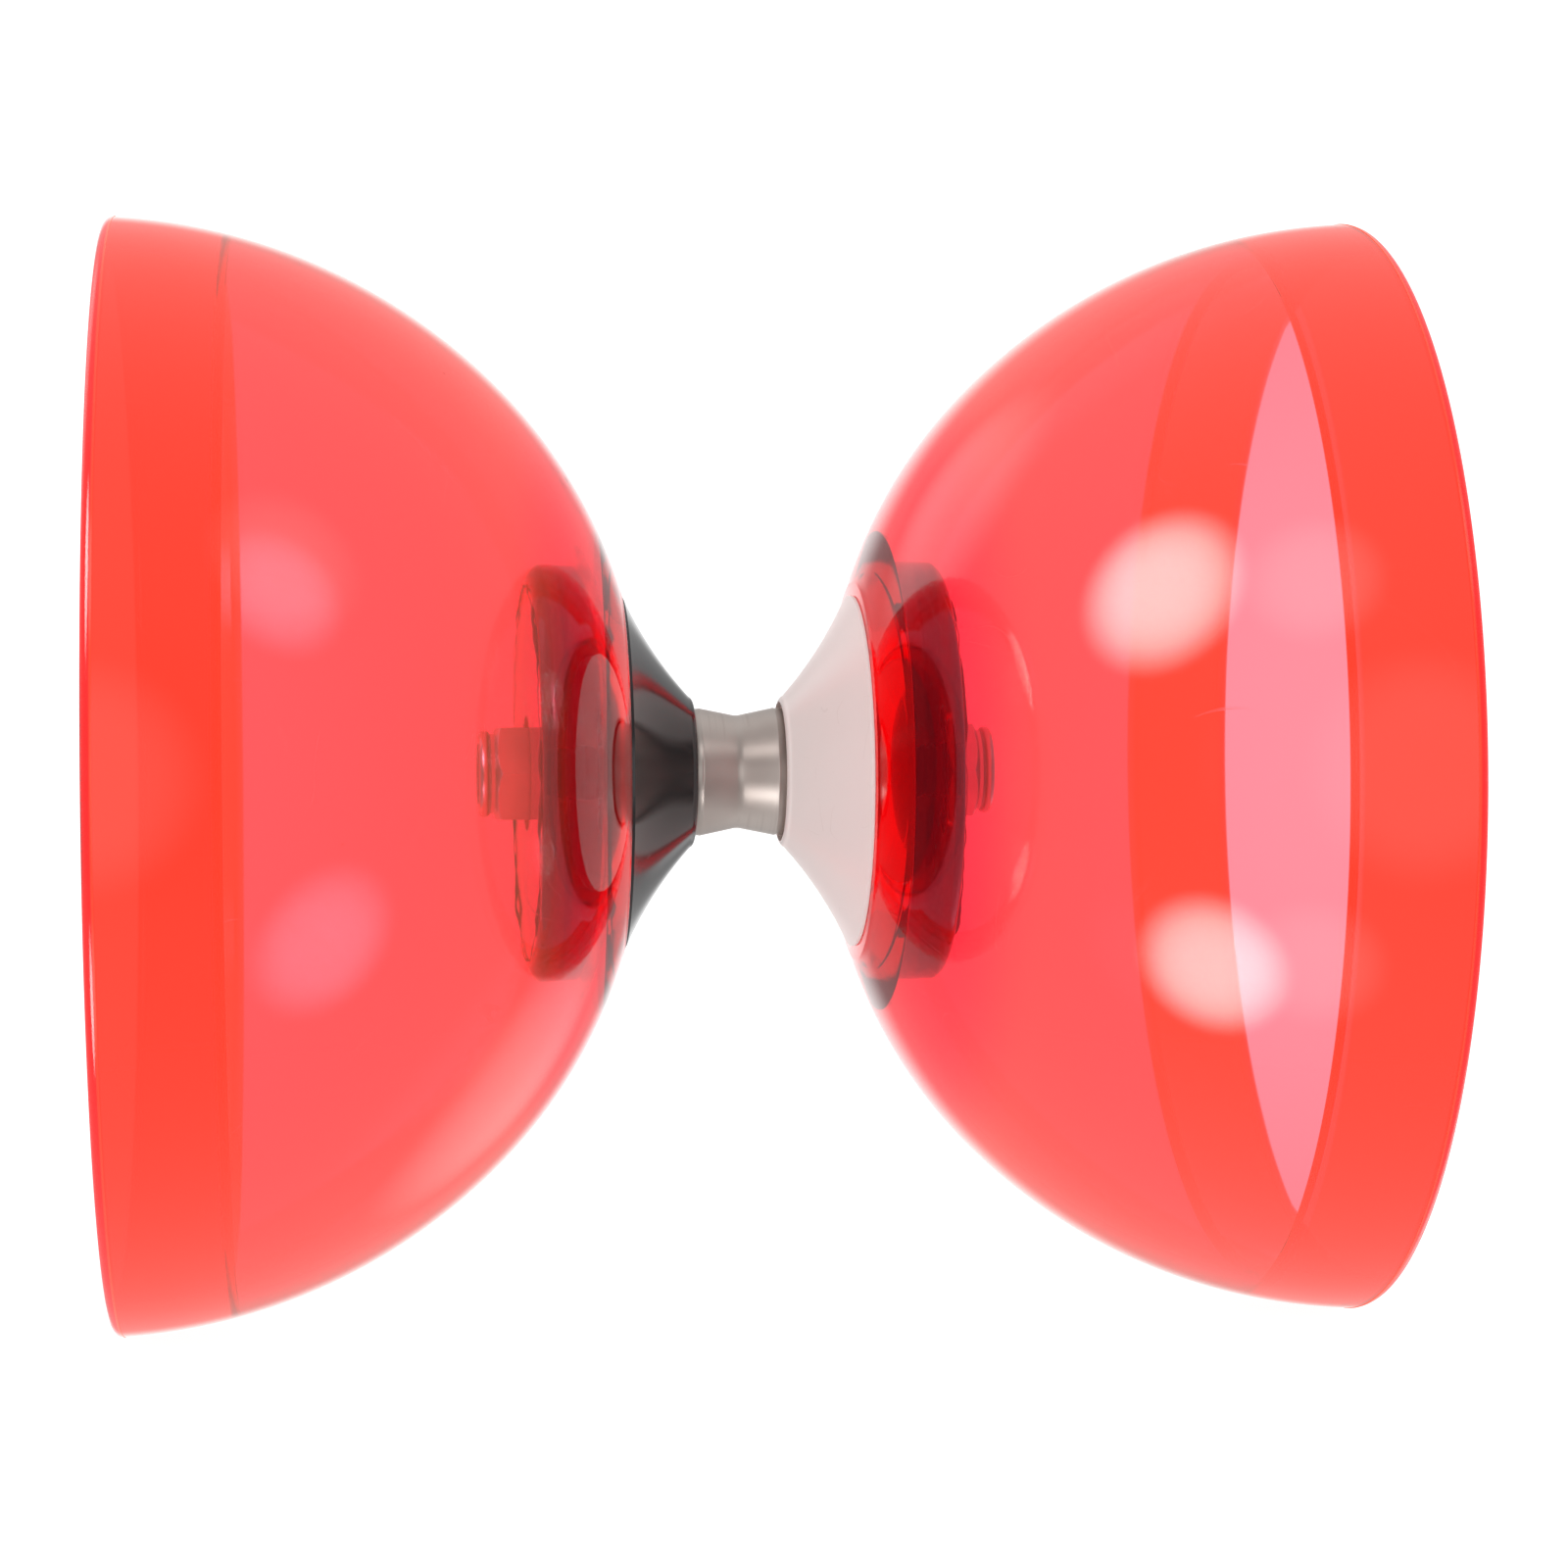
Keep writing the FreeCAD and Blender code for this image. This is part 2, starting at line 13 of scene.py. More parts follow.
import bmesh
import bpy
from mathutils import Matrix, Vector


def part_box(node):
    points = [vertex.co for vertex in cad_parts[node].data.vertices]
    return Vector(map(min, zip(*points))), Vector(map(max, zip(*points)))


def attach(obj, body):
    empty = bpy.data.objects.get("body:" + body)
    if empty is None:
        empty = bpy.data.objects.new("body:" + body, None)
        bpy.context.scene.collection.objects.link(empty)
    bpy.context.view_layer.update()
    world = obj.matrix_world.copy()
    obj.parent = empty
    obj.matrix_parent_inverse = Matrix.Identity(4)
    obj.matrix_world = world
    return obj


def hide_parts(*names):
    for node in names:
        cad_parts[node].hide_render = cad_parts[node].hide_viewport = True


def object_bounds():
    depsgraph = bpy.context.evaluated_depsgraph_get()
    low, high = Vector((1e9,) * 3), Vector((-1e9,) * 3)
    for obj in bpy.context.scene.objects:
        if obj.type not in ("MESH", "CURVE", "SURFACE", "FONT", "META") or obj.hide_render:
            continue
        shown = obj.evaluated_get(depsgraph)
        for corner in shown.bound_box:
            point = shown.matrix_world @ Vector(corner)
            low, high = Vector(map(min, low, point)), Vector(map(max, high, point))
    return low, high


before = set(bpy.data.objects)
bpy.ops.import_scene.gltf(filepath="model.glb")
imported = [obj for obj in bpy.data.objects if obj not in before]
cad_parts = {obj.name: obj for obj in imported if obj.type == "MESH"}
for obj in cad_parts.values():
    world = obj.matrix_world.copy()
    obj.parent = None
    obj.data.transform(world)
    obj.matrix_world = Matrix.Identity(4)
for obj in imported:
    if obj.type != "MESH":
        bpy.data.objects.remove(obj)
cad_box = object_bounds()

LOG = logging.getLogger("diabolo")
MM = 0.001
RIGHT_ANGLE = math.pi / 2
FULL_TURN = 2 * math.pi
HEX_WEDGE = math.pi / 3
NO_FLATS = 1e-6
SEAM_GAP = 0.002 * MM
RUBBED_EDGE = 35.0

Point = tuple[float, float]
Colour = tuple[float, float, float, float]


class Side(Enum):
    """Which end of the axle a piece is on; the value is the sign of its X."""

    LEFT = -1
    RIGHT = 1

    def node(self, name: str) -> str:
        """The frame's node of this name on this side."""
        return f"{self.name.lower()}_{name}"

    def mirrored(self, points: Iterable[Point]) -> list[Point]:
        """An outline drawn for the right side, put on this side."""
        return [(x * self.value, radius) for x, radius in points]


# ------------------------------------------------------------------------------------------- node trees


class Tree:
    """A node tree being written."""

    def __init__(self, tree: bpy.types.NodeTree) -> None:
        """Starts on a tree.

        Args:
            tree: The tree to write into.
        """
        self.tree = tree
        self.count = 0

    def add(self, kind: str, **settings: object) -> bpy.types.Node:
        """Adds a node.

        Args:
            kind: The node's type name.
            **settings: Attributes to set on it.

        Returns:
            The new node.
        """
        node = self.tree.nodes.new(kind)
        node.location = (200 * (self.count % 12), -260 * (self.count // 12))
        self.count += 1
        for name, value in settings.items():
            setattr(node, name, value)
        return node

    def feed(self, socket: bpy.types.NodeSocket, value: object) -> None:
        """Links an output to a socket, or gives the socket a plain value.

        Args:
            socket: The input to feed.
            value: An output socket, or a value that the socket takes.
        """
        if isinstance(value, bpy.types.NodeSocket):
            self.tree.links.new(value, socket)
        else:
            socket.default_value = value

    def wire(self, node: bpy.types.Node, **values: object) -> None:
        """Feeds several of a node's inputs.

        Args:
            node: The node.
            **values: What each input is fed, by its name, with _ for a space.
        """
        for name, value in values.items():
            self.feed(node.inputs[name.replace("_", " ")], value)

    def math(self, operation: str, *values: object) -> bpy.types.NodeSocket:
        """A Math node.

        Args:
            operation: Its operation.
            *values: Its inputs, sockets or numbers.

        Returns:
            Its output.
        """
        node = self.add("ShaderNodeMath", operation=operation)
        for socket, value in zip(node.inputs, values):
            self.feed(socket, value)
        return node.outputs[0]

    def times(self, *values: object) -> bpy.types.NodeSocket:
        """The product of two values."""
        return self.math("MULTIPLY", *values)

    def plus(self, *values: object) -> bpy.types.NodeSocket:
        """The sum of two values."""
        return self.math("ADD", *values)

    def minus(self, *values: object) -> bpy.types.NodeSocket:
        """The first value less the second."""
        return self.math("SUBTRACT", *values)

    def over(self, *values: object) -> bpy.types.NodeSocket:
        """The first value divided by the second."""
        return self.math("DIVIDE", *values)

    def split(self, vector: object) -> bpy.types.NodeOutputs:
        """A vector's parts, as outputs X, Y and Z."""
        node = self.add("ShaderNodeSeparateXYZ")
        self.feed(node.inputs[0], vector)
        return node.outputs

    def join(self, *parts: object) -> bpy.types.NodeSocket:
        """A vector made of its X, Y and Z."""
        node = self.add("ShaderNodeCombineXYZ")
        for socket, part in zip(node.inputs, parts):
            self.feed(socket, part)
        return node.outputs[0]

    def on_ring(self, along: object, radius: object, turn: object) -> bpy.types.NodeSocket:
        """A place on a ring round X.

        Args:
            along: The ring's place along X.
            radius: Its radius.
            turn: The angle from +Z, in radians.

        Returns:
            The place.
        """
        across = (self.times(radius, self.math(part, turn)) for part in ("SINE", "COSINE"))
        return self.join(along, *across)

    def vector(self, operation: str, *values: object) -> bpy.types.Node:
        """A Vector Math node.

        Args:
            operation: Its operation.
            *values: Its inputs, sockets or vectors.

        Returns:
            The node.
        """
        node = self.add("ShaderNodeVectorMath", operation=operation)
        for socket, value in zip(node.inputs, values):
            self.feed(socket, value)
        return node

    def mix(self, factor: object, low: object, high: object) -> bpy.types.NodeSocket:
        """A mix of two colours.

        Args:
            factor: How much of high shows.
            low: The colour at factor 0.
            high: The colour at factor 1.

        Returns:
            The mixed colour.
        """
        node = self.add("ShaderNodeMix", data_type="RGBA")
        self.feed(node.inputs["Factor"], factor)
        self.feed(node.inputs[6], low)
        self.feed(node.inputs[7], high)
        return node.outputs[2]

    def step(self, value: object, low: float, high: float, before: float,
             after: float) -> bpy.types.NodeSocket:
        """A soft step.

        Args:
            value: What is mapped.
            low: Where the step begins.
            high: Where it ends.
            before: The result below low.
            after: The result above high.

        Returns:
            The mapped value.
        """
        node = self.add("ShaderNodeMapRange", interpolation_type="SMOOTHSTEP")
        for socket, number in zip(node.inputs, (value, low, high, before, after)):
            self.feed(socket, number)
        return node.outputs[0]

    def noise(self, position: object, scale: object, detail: float = 2.0) -> bpy.types.NodeSocket:
        """A noise value.

        Args:
            position: Where it is read.
            scale: Its scale.
            detail: How many finer layers it has.

        Returns:
            The value, about 0.5 on average.
        """
        node = self.add("ShaderNodeTexNoise")
        self.wire(node, Vector=position, Scale=scale, Detail=detail)
        return node.outputs[0]

    def use(self, group: bpy.types.NodeTree, **values: object) -> bpy.types.Node:
        """A shared effect placed in this tree.

        Args:
            group: The effect's node group.
            **values: Its inputs by name, with _ for a space.

        Returns:
            The group's node.
        """
        node = self.add("ShaderNodeGroup", node_tree=group)
        self.wire(node, **values)
        return node


def sockets(group: bpy.types.NodeTree, way: str, **kinds: str) -> None:
    """Gives a node group its named inputs or outputs.

    Args:
        group: The group.
        way: INPUT or OUTPUT.
        **kinds: Each socket's name, with _ for a space, and its type after NodeSocket.
    """
    for name, kind in kinds.items():
        group.interface.new_socket(name.replace("_", " "), in_out=way, socket_type="NodeSocket" + kind)


# ---------------------------------------------------------------------------------------------- outlines


@dataclass
class Outline:
    """A closed outline as points of (distance along X, radius)."""

    points: list[Point] = field(default_factory=list)

    def to(self, *points: Point) -> "Outline":
        """Adds sharp points."""
        self.points.extend(points)
        return self

    def line(self, end: Point, steps: int) -> "Outline":
        """Adds a straight run in equal steps.

        Args:
            end: Where the run ends.
            steps: How many steps it has.

        Returns:
            The outline.
        """
        x, radius = self.points[-1]
        for i in range(1, steps + 1):
            self.to((x + (end[0] - x) * i / steps, radius + (end[1] - radius) * i / steps))
        return self

    def arc(self, centre: Point, size: float, start: float, end: float, steps: int) -> "Outline":
        """Adds an arc.

        Args:
            centre: Its centre.
            size: Its radius.
            start: Its first angle from +X towards larger radii, in radians.
            end: Its last angle.
            steps: How many steps it has.

        Returns:
            The outline.
        """
        for i in range(steps + 1):
            angle = start + (end - start) * i / steps
            self.to((centre[0] + size * math.cos(angle), centre[1] + size * math.sin(angle)))
        return self

    def bend(self, middle: Point, end: Point, steps: int) -> "Outline":
        """Adds an arc from the last point through a middle point to an end.

        Args:
            middle: A point on the arc.
            end: The arc's end.
            steps: How many steps it has.

        Returns:
            The outline.
        """
        a, b, c = Vector(self.points[-1]), Vector(middle), Vector(end)
        twice_area = 2 * (a.x * (b.y - c.y) + b.x * (c.y - a.y) + c.x * (a.y - b.y))
        x = (a.dot(a) * (b.y - c.y) + b.dot(b) * (c.y - a.y) + c.dot(c) * (a.y - b.y)) / twice_area
        y = (a.dot(a) * (c.x - b.x) + b.dot(b) * (a.x - c.x) + c.dot(c) * (b.x - a.x)) / twice_area
        start, through, stop = (math.atan2(p.y - y, p.x - x) for p in (a, b, c))
        sweep = (stop - start) % FULL_TURN
        if (through - start) % FULL_TURN > sweep:
            sweep -= FULL_TURN
        size = (a - Vector((x, y))).length
        for i in range(1, steps + 1):
            angle = start + sweep * i / steps
            self.to((x + size * math.cos(angle), y + size * math.sin(angle)))
        return self


def ring_outline(start: float, end: float, inner: float, outer: float, rounding: float) -> list[Point]:
    """The outline of a plain ring with softly broken edges.

    Args:
        start: Where it begins along X.
        end: Where it ends.
        inner: Its inner radius.
        outer: Its outer radius.
        rounding: How far its four edges are broken.

    Returns:
        The outline's points.
    """
    outline = Outline()
    outline.arc((start + rounding, inner + rounding), rounding, -RIGHT_ANGLE, -2 * RIGHT_ANGLE, 3)
    outline.arc((start + rounding, outer - rounding), rounding, 2 * RIGHT_ANGLE, RIGHT_ANGLE, 3)
    outline.arc((end - rounding, outer - rounding), rounding, RIGHT_ANGLE, 0.0, 3)
    outline.arc((end - rounding, inner + rounding), rounding, 0.0, -RIGHT_ANGLE, 3)
    return outline.points


# ---------------------------------------------------------------------------------------- geometry trees


@dataclass(frozen=True)
class Thread:
    """A screw thread cut into a turned piece, in millimetres."""

    radius: float
    depth: float
    pitch: float
    start: float


NO_THREAD = Thread(radius=1000.0, depth=0.0, pitch=1.0, start=0.0)


def finish_tree(tree: Tree, shape: object, finish: object) -> None:
    """Ends a geometry tree in Realize Instances and Set Material.

    Args:
        tree: The tree.
        shape: The geometry that it hands out.
        finish: The material that it gets.
    """
    real = tree.add("GeometryNodeRealizeInstances")
    tree.feed(real.inputs[0], shape)
    painted = tree.add("GeometryNodeSetMaterial")
    tree.wire(painted, Geometry=real.outputs[0], Material=finish)
    end = tree.add("NodeGroupOutput")
    tree.feed(end.inputs[0], painted.outputs[0])


def new_geometry_tree(name: str, **kinds: str) -> tuple[Tree, bpy.types.Node]:
    """A geometry tree with its named inputs.

    Args:
        name: The tree's name.
        **kinds: The inputs after Base, as sockets() takes them.

    Returns:
        The tree and its input node.
    """
    group = bpy.data.node_groups.new(name, "GeometryNodeTree")
    sockets(group, "INPUT", Base="Geometry", **kinds, Finish="Material")
    sockets(group, "OUTPUT", Piece="Geometry")
    tree = Tree(group)
    return tree, tree.add("NodeGroupInput")


def turning_tree() -> bpy.types.NodeTree:
    """The tree that turns an outline round X, with flats or a thread cut into it where it is given them."""
    tree, given = new_geometry_tree(
        "turned_piece", Segments="Int", Across_Flats="Float", Thread_Radius="Float",
        Thread_Depth="Float", Thread_Pitch="Float", Thread_Start="Float",
    )
    size = tree.add("GeometryNodeAttributeDomainSize", component="MESH")
    tree.feed(size.inputs["Geometry"], given.outputs["Base"])
    points = size.outputs["Point Count"]
    grid = tree.add("GeometryNodeMeshGrid")
    tree.wire(grid, Size_X=1.0, Size_Y=1.0, Vertices_X=tree.plus(points, 1),
              Vertices_Y=tree.plus(given.outputs["Segments"], 1))
    place = tree.split(tree.add("GeometryNodeInputPosition").outputs[0])
    count = tree.math("ROUND", tree.times(tree.plus(place["X"], 0.5), points))
    turn = tree.times(tree.plus(place["Y"], 0.5), FULL_TURN)
    sample = tree.add("GeometryNodeSampleIndex", data_type="FLOAT_VECTOR", domain="POINT")
    tree.wire(sample, Geometry=given.outputs["Base"],
              Value=tree.add("GeometryNodeInputPosition").outputs[0],
              Index=tree.math("FLOORED_MODULO", count, points))
    outline = tree.split(sample.outputs[0])
    along = outline["X"]

    # A flat is a cosine law between two corners; with no flats the limit is a metre away.
    wedge = tree.math("FLOORED_MODULO", tree.plus(turn, HEX_WEDGE / 2), HEX_WEDGE)
    half_flats = tree.times(given.outputs["Across Flats"], 0.5)
    flat = tree.over(half_flats, tree.math("COSINE", tree.minus(wedge, HEX_WEDGE / 2)))
    flat = tree.plus(flat, tree.math("LESS_THAN", given.outputs["Across Flats"], NO_FLATS))
    radius = tree.math("MINIMUM", outline["Z"], flat)

    # The thread's groove winds round the shank beyond the thread's start.
    helix = tree.minus(tree.over(along, given.outputs["Thread Pitch"]), tree.over(turn, FULL_TURN))
    ridge = tree.math("PINGPONG", tree.times(helix, 2.0), 1.0)
    groove = tree.minus(given.outputs["Thread Radius"], tree.times(given.outputs["Thread Depth"], ridge))
    plain = tree.math("LESS_THAN", tree.math("ABSOLUTE", along), given.outputs["Thread Start"])
    radius = tree.math("MINIMUM", radius, tree.plus(groove, plain))

    move = tree.add("GeometryNodeSetPosition")
    tree.wire(move, Geometry=grid.outputs["Mesh"], Position=tree.on_ring(along, radius, turn))
    merge = tree.add("GeometryNodeMergeByDistance")
    tree.wire(merge, Geometry=move.outputs[0], Distance=SEAM_GAP)
    finish_tree(tree, merge.outputs[0], given.outputs["Finish"])
    return tree.tree


class RollingShape(Enum):
    """What a ring of rolling parts is made of."""

    BALL = "ball"
    ROLLER = "roller"


def rolling_tree(shape: RollingShape) -> bpy.types.NodeTree:
    """The tree that sets balls or rollers in a ring round X.

    Args:
        shape: Whether the ring holds balls or rollers.

    Returns:
        The tree. Its inputs are Count, Pitch Radius, Part Radius, Length and Along.
    """
    tree, given = new_geometry_tree(
        shape.value + "_ring", Count="Int", Pitch_Radius="Float", Part_Radius="Float", Length="Float",
        Along="Float",
    )
    if shape is RollingShape.BALL:
        part = tree.add("GeometryNodeMeshIcoSphere")
        tree.feed(part.inputs["Subdivisions"], 4)
    else:
        part = tree.add("GeometryNodeMeshCylinder")
        tree.wire(part, Vertices=48, Depth=given.outputs["Length"])
    tree.feed(part.inputs["Radius"], given.outputs["Part Radius"])
    lie = tree.add("GeometryNodeTransform")
    tree.wire(lie, Geometry=part.outputs[0], Rotation=(0.0, RIGHT_ANGLE, 0.0))
    line = tree.add("GeometryNodeMeshLine")
    tree.feed(line.inputs["Count"], given.outputs["Count"])
    steps = tree.times(tree.add("GeometryNodeInputIndex").outputs[0], FULL_TURN)
    turn = tree.over(steps, given.outputs["Count"])
    spot = tree.on_ring(given.outputs["Along"], given.outputs["Pitch Radius"], turn)
    move = tree.add("GeometryNodeSetPosition")
    tree.wire(move, Geometry=line.outputs[0], Position=spot)
    copies = tree.add("GeometryNodeInstanceOnPoints")
    tree.wire(copies, Points=move.outputs[0], Instance=lie.outputs[0])
    finish_tree(tree, copies.outputs[0], given.outputs["Finish"])
    return tree.tree


def glue_tree() -> bpy.types.NodeTree:
    """The tree that runs an uneven bead of adhesive round X."""
    tree, given = new_geometry_tree(
        "glue_bead", Radius="Float", Thickness="Float", Wander="Float", Along="Float", Seed="Float",
    )
    circle = tree.add("GeometryNodeCurvePrimitiveCircle")
    tree.wire(circle, Resolution=320, Radius=given.outputs["Radius"])
    place = tree.add("GeometryNodeInputPosition").outputs[0]
    wander = tree.add("ShaderNodeTexNoise", noise_dimensions="4D")
    tree.wire(wander, Vector=place, W=given.outputs["Seed"], Scale=190.0, Detail=2.0)
    uneven = tree.minus(wander.outputs[0], 0.5)
    along = tree.plus(given.outputs["Along"], tree.times(uneven, given.outputs["Wander"]))
    spot = tree.split(place)
    place_bead = tree.add("GeometryNodeSetPosition")
    tree.wire(place_bead, Geometry=circle.outputs[0], Position=tree.join(along, spot["X"], spot["Y"]))
    swell = tree.add("ShaderNodeTexNoise", noise_dimensions="4D")
    tree.wire(swell, Vector=place, W=tree.plus(given.outputs["Seed"], 5.0), Scale=120.0)
    width = tree.add("GeometryNodeSetCurveRadius")
    tree.feed(width.inputs[0], place_bead.outputs[0])
    tree.feed(width.inputs["Radius"], tree.step(swell.outputs[0], 0.42, 0.66, 0.15, 1.0))
    section = tree.add("GeometryNodeCurvePrimitiveCircle")
    tree.wire(section, Resolution=10, Radius=given.outputs["Thickness"])
    tube = tree.add("GeometryNodeCurveToMesh")
    tree.wire(tube, Curve=width.outputs[0], Profile_Curve=section.outputs[0])
    if "Scale" in tube.inputs:
        radius = tree.add("GeometryNodeInputRadius")
        tree.feed(tube.inputs["Scale"], radius.outputs[0])
    finish_tree(tree, tube.outputs[0], given.outputs["Finish"])
    return tree.tree


def grown(name: str, base: bpy.types.Mesh, group: bpy.types.NodeTree, **values: object) -> bpy.types.Object:
    """Runs a geometry tree on a mesh and keeps the result as a plain mesh.

    Args:
        name: The piece's name.
        base: The mesh that the tree starts from.
        group: The tree.
        **values: Its inputs by name, with _ for a space.

    Returns:
        The piece, with no modifier left.
    """
    piece = bpy.data.objects.new(name, base)
    bpy.context.scene.collection.objects.link(piece)
    modifier = piece.modifiers.new("grow", "NODES")
    modifier.node_group = group
    inputs = {s.name: s.identifier for s in group.interface.items_tree if s.in_out == "INPUT"}
    for key, value in values.items():
        modifier[inputs[key.replace("_", " ")]] = value
    graph = bpy.context.evaluated_depsgraph_get()
    mesh = bpy.data.meshes.new_from_object(piece.evaluated_get(graph), depsgraph=graph)
    piece.modifiers.remove(modifier)
    piece.data = mesh
    mesh.name = name
    return piece


def tidied(piece: bpy.types.Object, sharp: float = 28.0) -> bpy.types.Object:
    """Points a closed piece's faces outwards and shades it smooth between its sharp edges.

    Args:
        piece: The piece.
        sharp: The angle, in degrees, past which an edge stays sharp.

    Returns:
        The piece.
    """
    work = bmesh.new()
    work.from_mesh(piece.data)
    bmesh.ops.dissolve_degenerate(work, dist=1e-7, edges=work.edges)
    bmesh.ops.recalc_face_normals(work, faces=work.faces)
    work.to_mesh(piece.data)
    work.free()
    piece.data.shade_smooth()
    piece.data.set_sharp_from_angle(angle=math.radians(sharp))
    return piece


def settled(piece: bpy.types.Object, body: str, slot: str, *nodes: str) -> bpy.types.Object:
    """Puts a finished piece on its body and hides the nodes that it stands for.

    Args:
        piece: The piece.
        body: The body that it rides on.
        slot: Not used.
        *nodes: The nodes that it replaces.

    Returns:
        The piece.
    """
    if nodes:
        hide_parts(*nodes)
    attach(piece, body)
    LOG.info("%s: %d faces on %s", piece.name, len(piece.data.polygons), body)
    return piece


class Workshop:
    """The trees that every class makes its meshes with."""

    def __init__(self) -> None:
        """Builds each tree once."""
        self.turning = turning_tree()
        self.balls = rolling_tree(RollingShape.BALL)
        self.rollers = rolling_tree(RollingShape.ROLLER)
        self.glue = glue_tree()

    def turn(self, name: str, points: Sequence[Point], segments: int, finish: bpy.types.Material,
             flats: float = 0.0, thread: Thread = NO_THREAD) -> bpy.types.Object:
        """Turns an outline round X.

        Args:
            name: The piece's name.
            points: The outline, in millimetres.
            segments: How many steps the turn has.
            finish: The piece's material.
            flats: The distance across its six flats, or 0 for a round piece.
            thread: The thread cut into it.

        Returns:
            The piece.
        """
        outline = bpy.data.meshes.new(name + "_outline")
        outline.from_pydata([(x * MM, 0.0, radius * MM) for x, radius in points], [], [])
        return tidied(grown(
            name, outline, self.turning, Segments=segments, Across_Flats=flats * MM,
            Thread_Radius=thread.radius * MM, Thread_Depth=thread.depth * MM, Thread_Pitch=thread.pitch * MM,
            Thread_Start=thread.start * MM, Finish=finish,
        ))

    def roll(self, shape: RollingShape, name: str, finish: bpy.types.Material, count: int,
             pitch: float, size: float, length: float, along: float) -> bpy.types.Object:
        """Sets balls or rollers in a ring.

        Args:
            shape: Whether they are balls or rollers.
            name: The piece's name.
            finish: Its material.
            count: How many there are.
            pitch: The radius of the ring through their middles, in millimetres.
            size: Each one's radius.
            length: Each roller's length.
            along: The ring's place along X.

        Returns:
            The piece.
        """
        tree = self.balls if shape is RollingShape.BALL else self.rollers
        return tidied(grown(
            name, bpy.data.meshes.new(name + "_base"), tree, Count=count, Pitch_Radius=pitch * MM,
            Part_Radius=size * MM, Length=length * MM, Along=along * MM, Finish=finish,
        ), RUBBED_EDGE)


# ------------------------------------------------------------------------------------------ shared effects


class SharedEffects:
    """Surface effects that several finishes use, each a shader node group built once."""

    def __init__(self) -> None:
        """Builds the groups."""
        self.grain = self.build_grain()
        self.specks = self.build_specks()
        self.hairlines = self.build_hairlines()
        self.lathe_rings = self.build_lathe_rings()

    def begin(self, name: str, numbers: str, results: str) -> tuple[Tree, bpy.types.Node, bpy.types.Node]:
        """Starts a group, whose inputs are a Position and some numbers.

        Args:
            name: The group's name.
            numbers: The names of its number inputs, with spaces between.
            results: The names of its outputs, with spaces between.

        Returns:
            The tree, its input node and its output node.
        """
        group = bpy.data.node_groups.new(name, "ShaderNodeTree")
        sockets(group, "INPUT", Position="Vector", **dict.fromkeys(numbers.split(), "Float"))
        sockets(group, "OUTPUT", **dict.fromkeys(results.split(), "Float"))
        tree = Tree(group)
        return tree, tree.add("NodeGroupInput"), tree.add("NodeGroupOutput")

    def build_grain(self) -> bpy.types.NodeTree:
        """Soft unevenness of a set size, as a height and as a broad tone."""
        tree, given, out = self.begin("soft_grain", "Size", "Height Tone")
        scale = tree.over(1.0, given.outputs["Size"])
        tree.wire(out, Height=tree.noise(given.outputs["Position"], scale, 3.0),
                  Tone=tree.noise(given.outputs["Position"], tree.times(scale, 0.13), 2.0))
        return tree.tree

    def build_specks(self) -> bpy.types.NodeTree:
        """Sparse small specks: dust on a surface, or dirt in the plastic."""
        tree, given, out = self.begin("specks", "Spacing Size Share", "Mask")
        cells = tree.add("ShaderNodeTexVoronoi")
        tree.wire(cells, Vector=given.outputs["Position"], Scale=tree.over(1.0, given.outputs["Spacing"]))
        near = tree.math("LESS_THAN", cells.outputs["Distance"],
                         tree.over(given.outputs["Size"], given.outputs["Spacing"]))
        pick = tree.add("ShaderNodeSeparateColor")
        tree.feed(pick.inputs[0], cells.outputs["Color"])
        chosen = tree.math("LESS_THAN", pick.outputs[0], given.outputs["Share"])
        tree.feed(out.inputs["Mask"], tree.times(near, chosen))
        return tree.tree

    def build_hairlines(self) -> bpy.types.NodeTree:
        """Fine scratches from handling: thin contour lines of a noise, broken up by another."""
        tree, given, out = self.begin("hairlines", "Size Width Share", "Mask")
        scale = tree.over(1.0, given.outputs["Size"])
        level = tree.math("ABSOLUTE", tree.minus(tree.noise(given.outputs["Position"], scale, 0.0), 0.5))
        line = tree.math("LESS_THAN", level, given.outputs["Width"])
        broken = tree.noise(given.outputs["Position"], tree.times(scale, 1.7), 1.0)
        kept = tree.math("LESS_THAN", broken, given.outputs["Share"])
        tree.feed(out.inputs["Mask"], tree.times(line, kept))
        return tree.tree

    def build_lathe_rings(self) -> bpy.types.NodeTree:
        """Fine rings round the axle, left by a turning tool."""
        tree, given, out = self.begin("lathe_rings", "Pitch", "Height Tone")
        place = tree.split(given.outputs["Position"])
        along = tree.over(place["X"], given.outputs["Pitch"])
        rings = tree.join(along, tree.times(place["Y"], 90.0), tree.times(place["Z"], 90.0))
        for name, share in (("Height", 1.0), ("Tone", 0.23)):
            tree.feed(out.inputs[name], tree.noise(rings, share, 3.0))
        return tree.tree


# ------------------------------------------------------------------------------------------------ finishes


def new_material(name: str) -> tuple[bpy.types.Material, Tree, bpy.types.Node, bpy.types.NodeSocket]:
    """An empty node material.

    Args:
        name: Its name.

    Returns:
        The material, its tree, its Principled shader linked to the output, and the Object coordinates.
    """
    material = bpy.data.materials.new(name)
    material.use_nodes = True
    material.node_tree.nodes.clear()
    material.cycles.emission_sampling = "NONE"
    tree = Tree(material.node_tree)
    shader = tree.add("ShaderNodeBsdfPrincipled")
    tree.feed(tree.add("ShaderNodeOutputMaterial").inputs["Surface"], shader.outputs[0])
    return material, tree, shader, tree.add("ShaderNodeTexCoord").outputs["Object"]


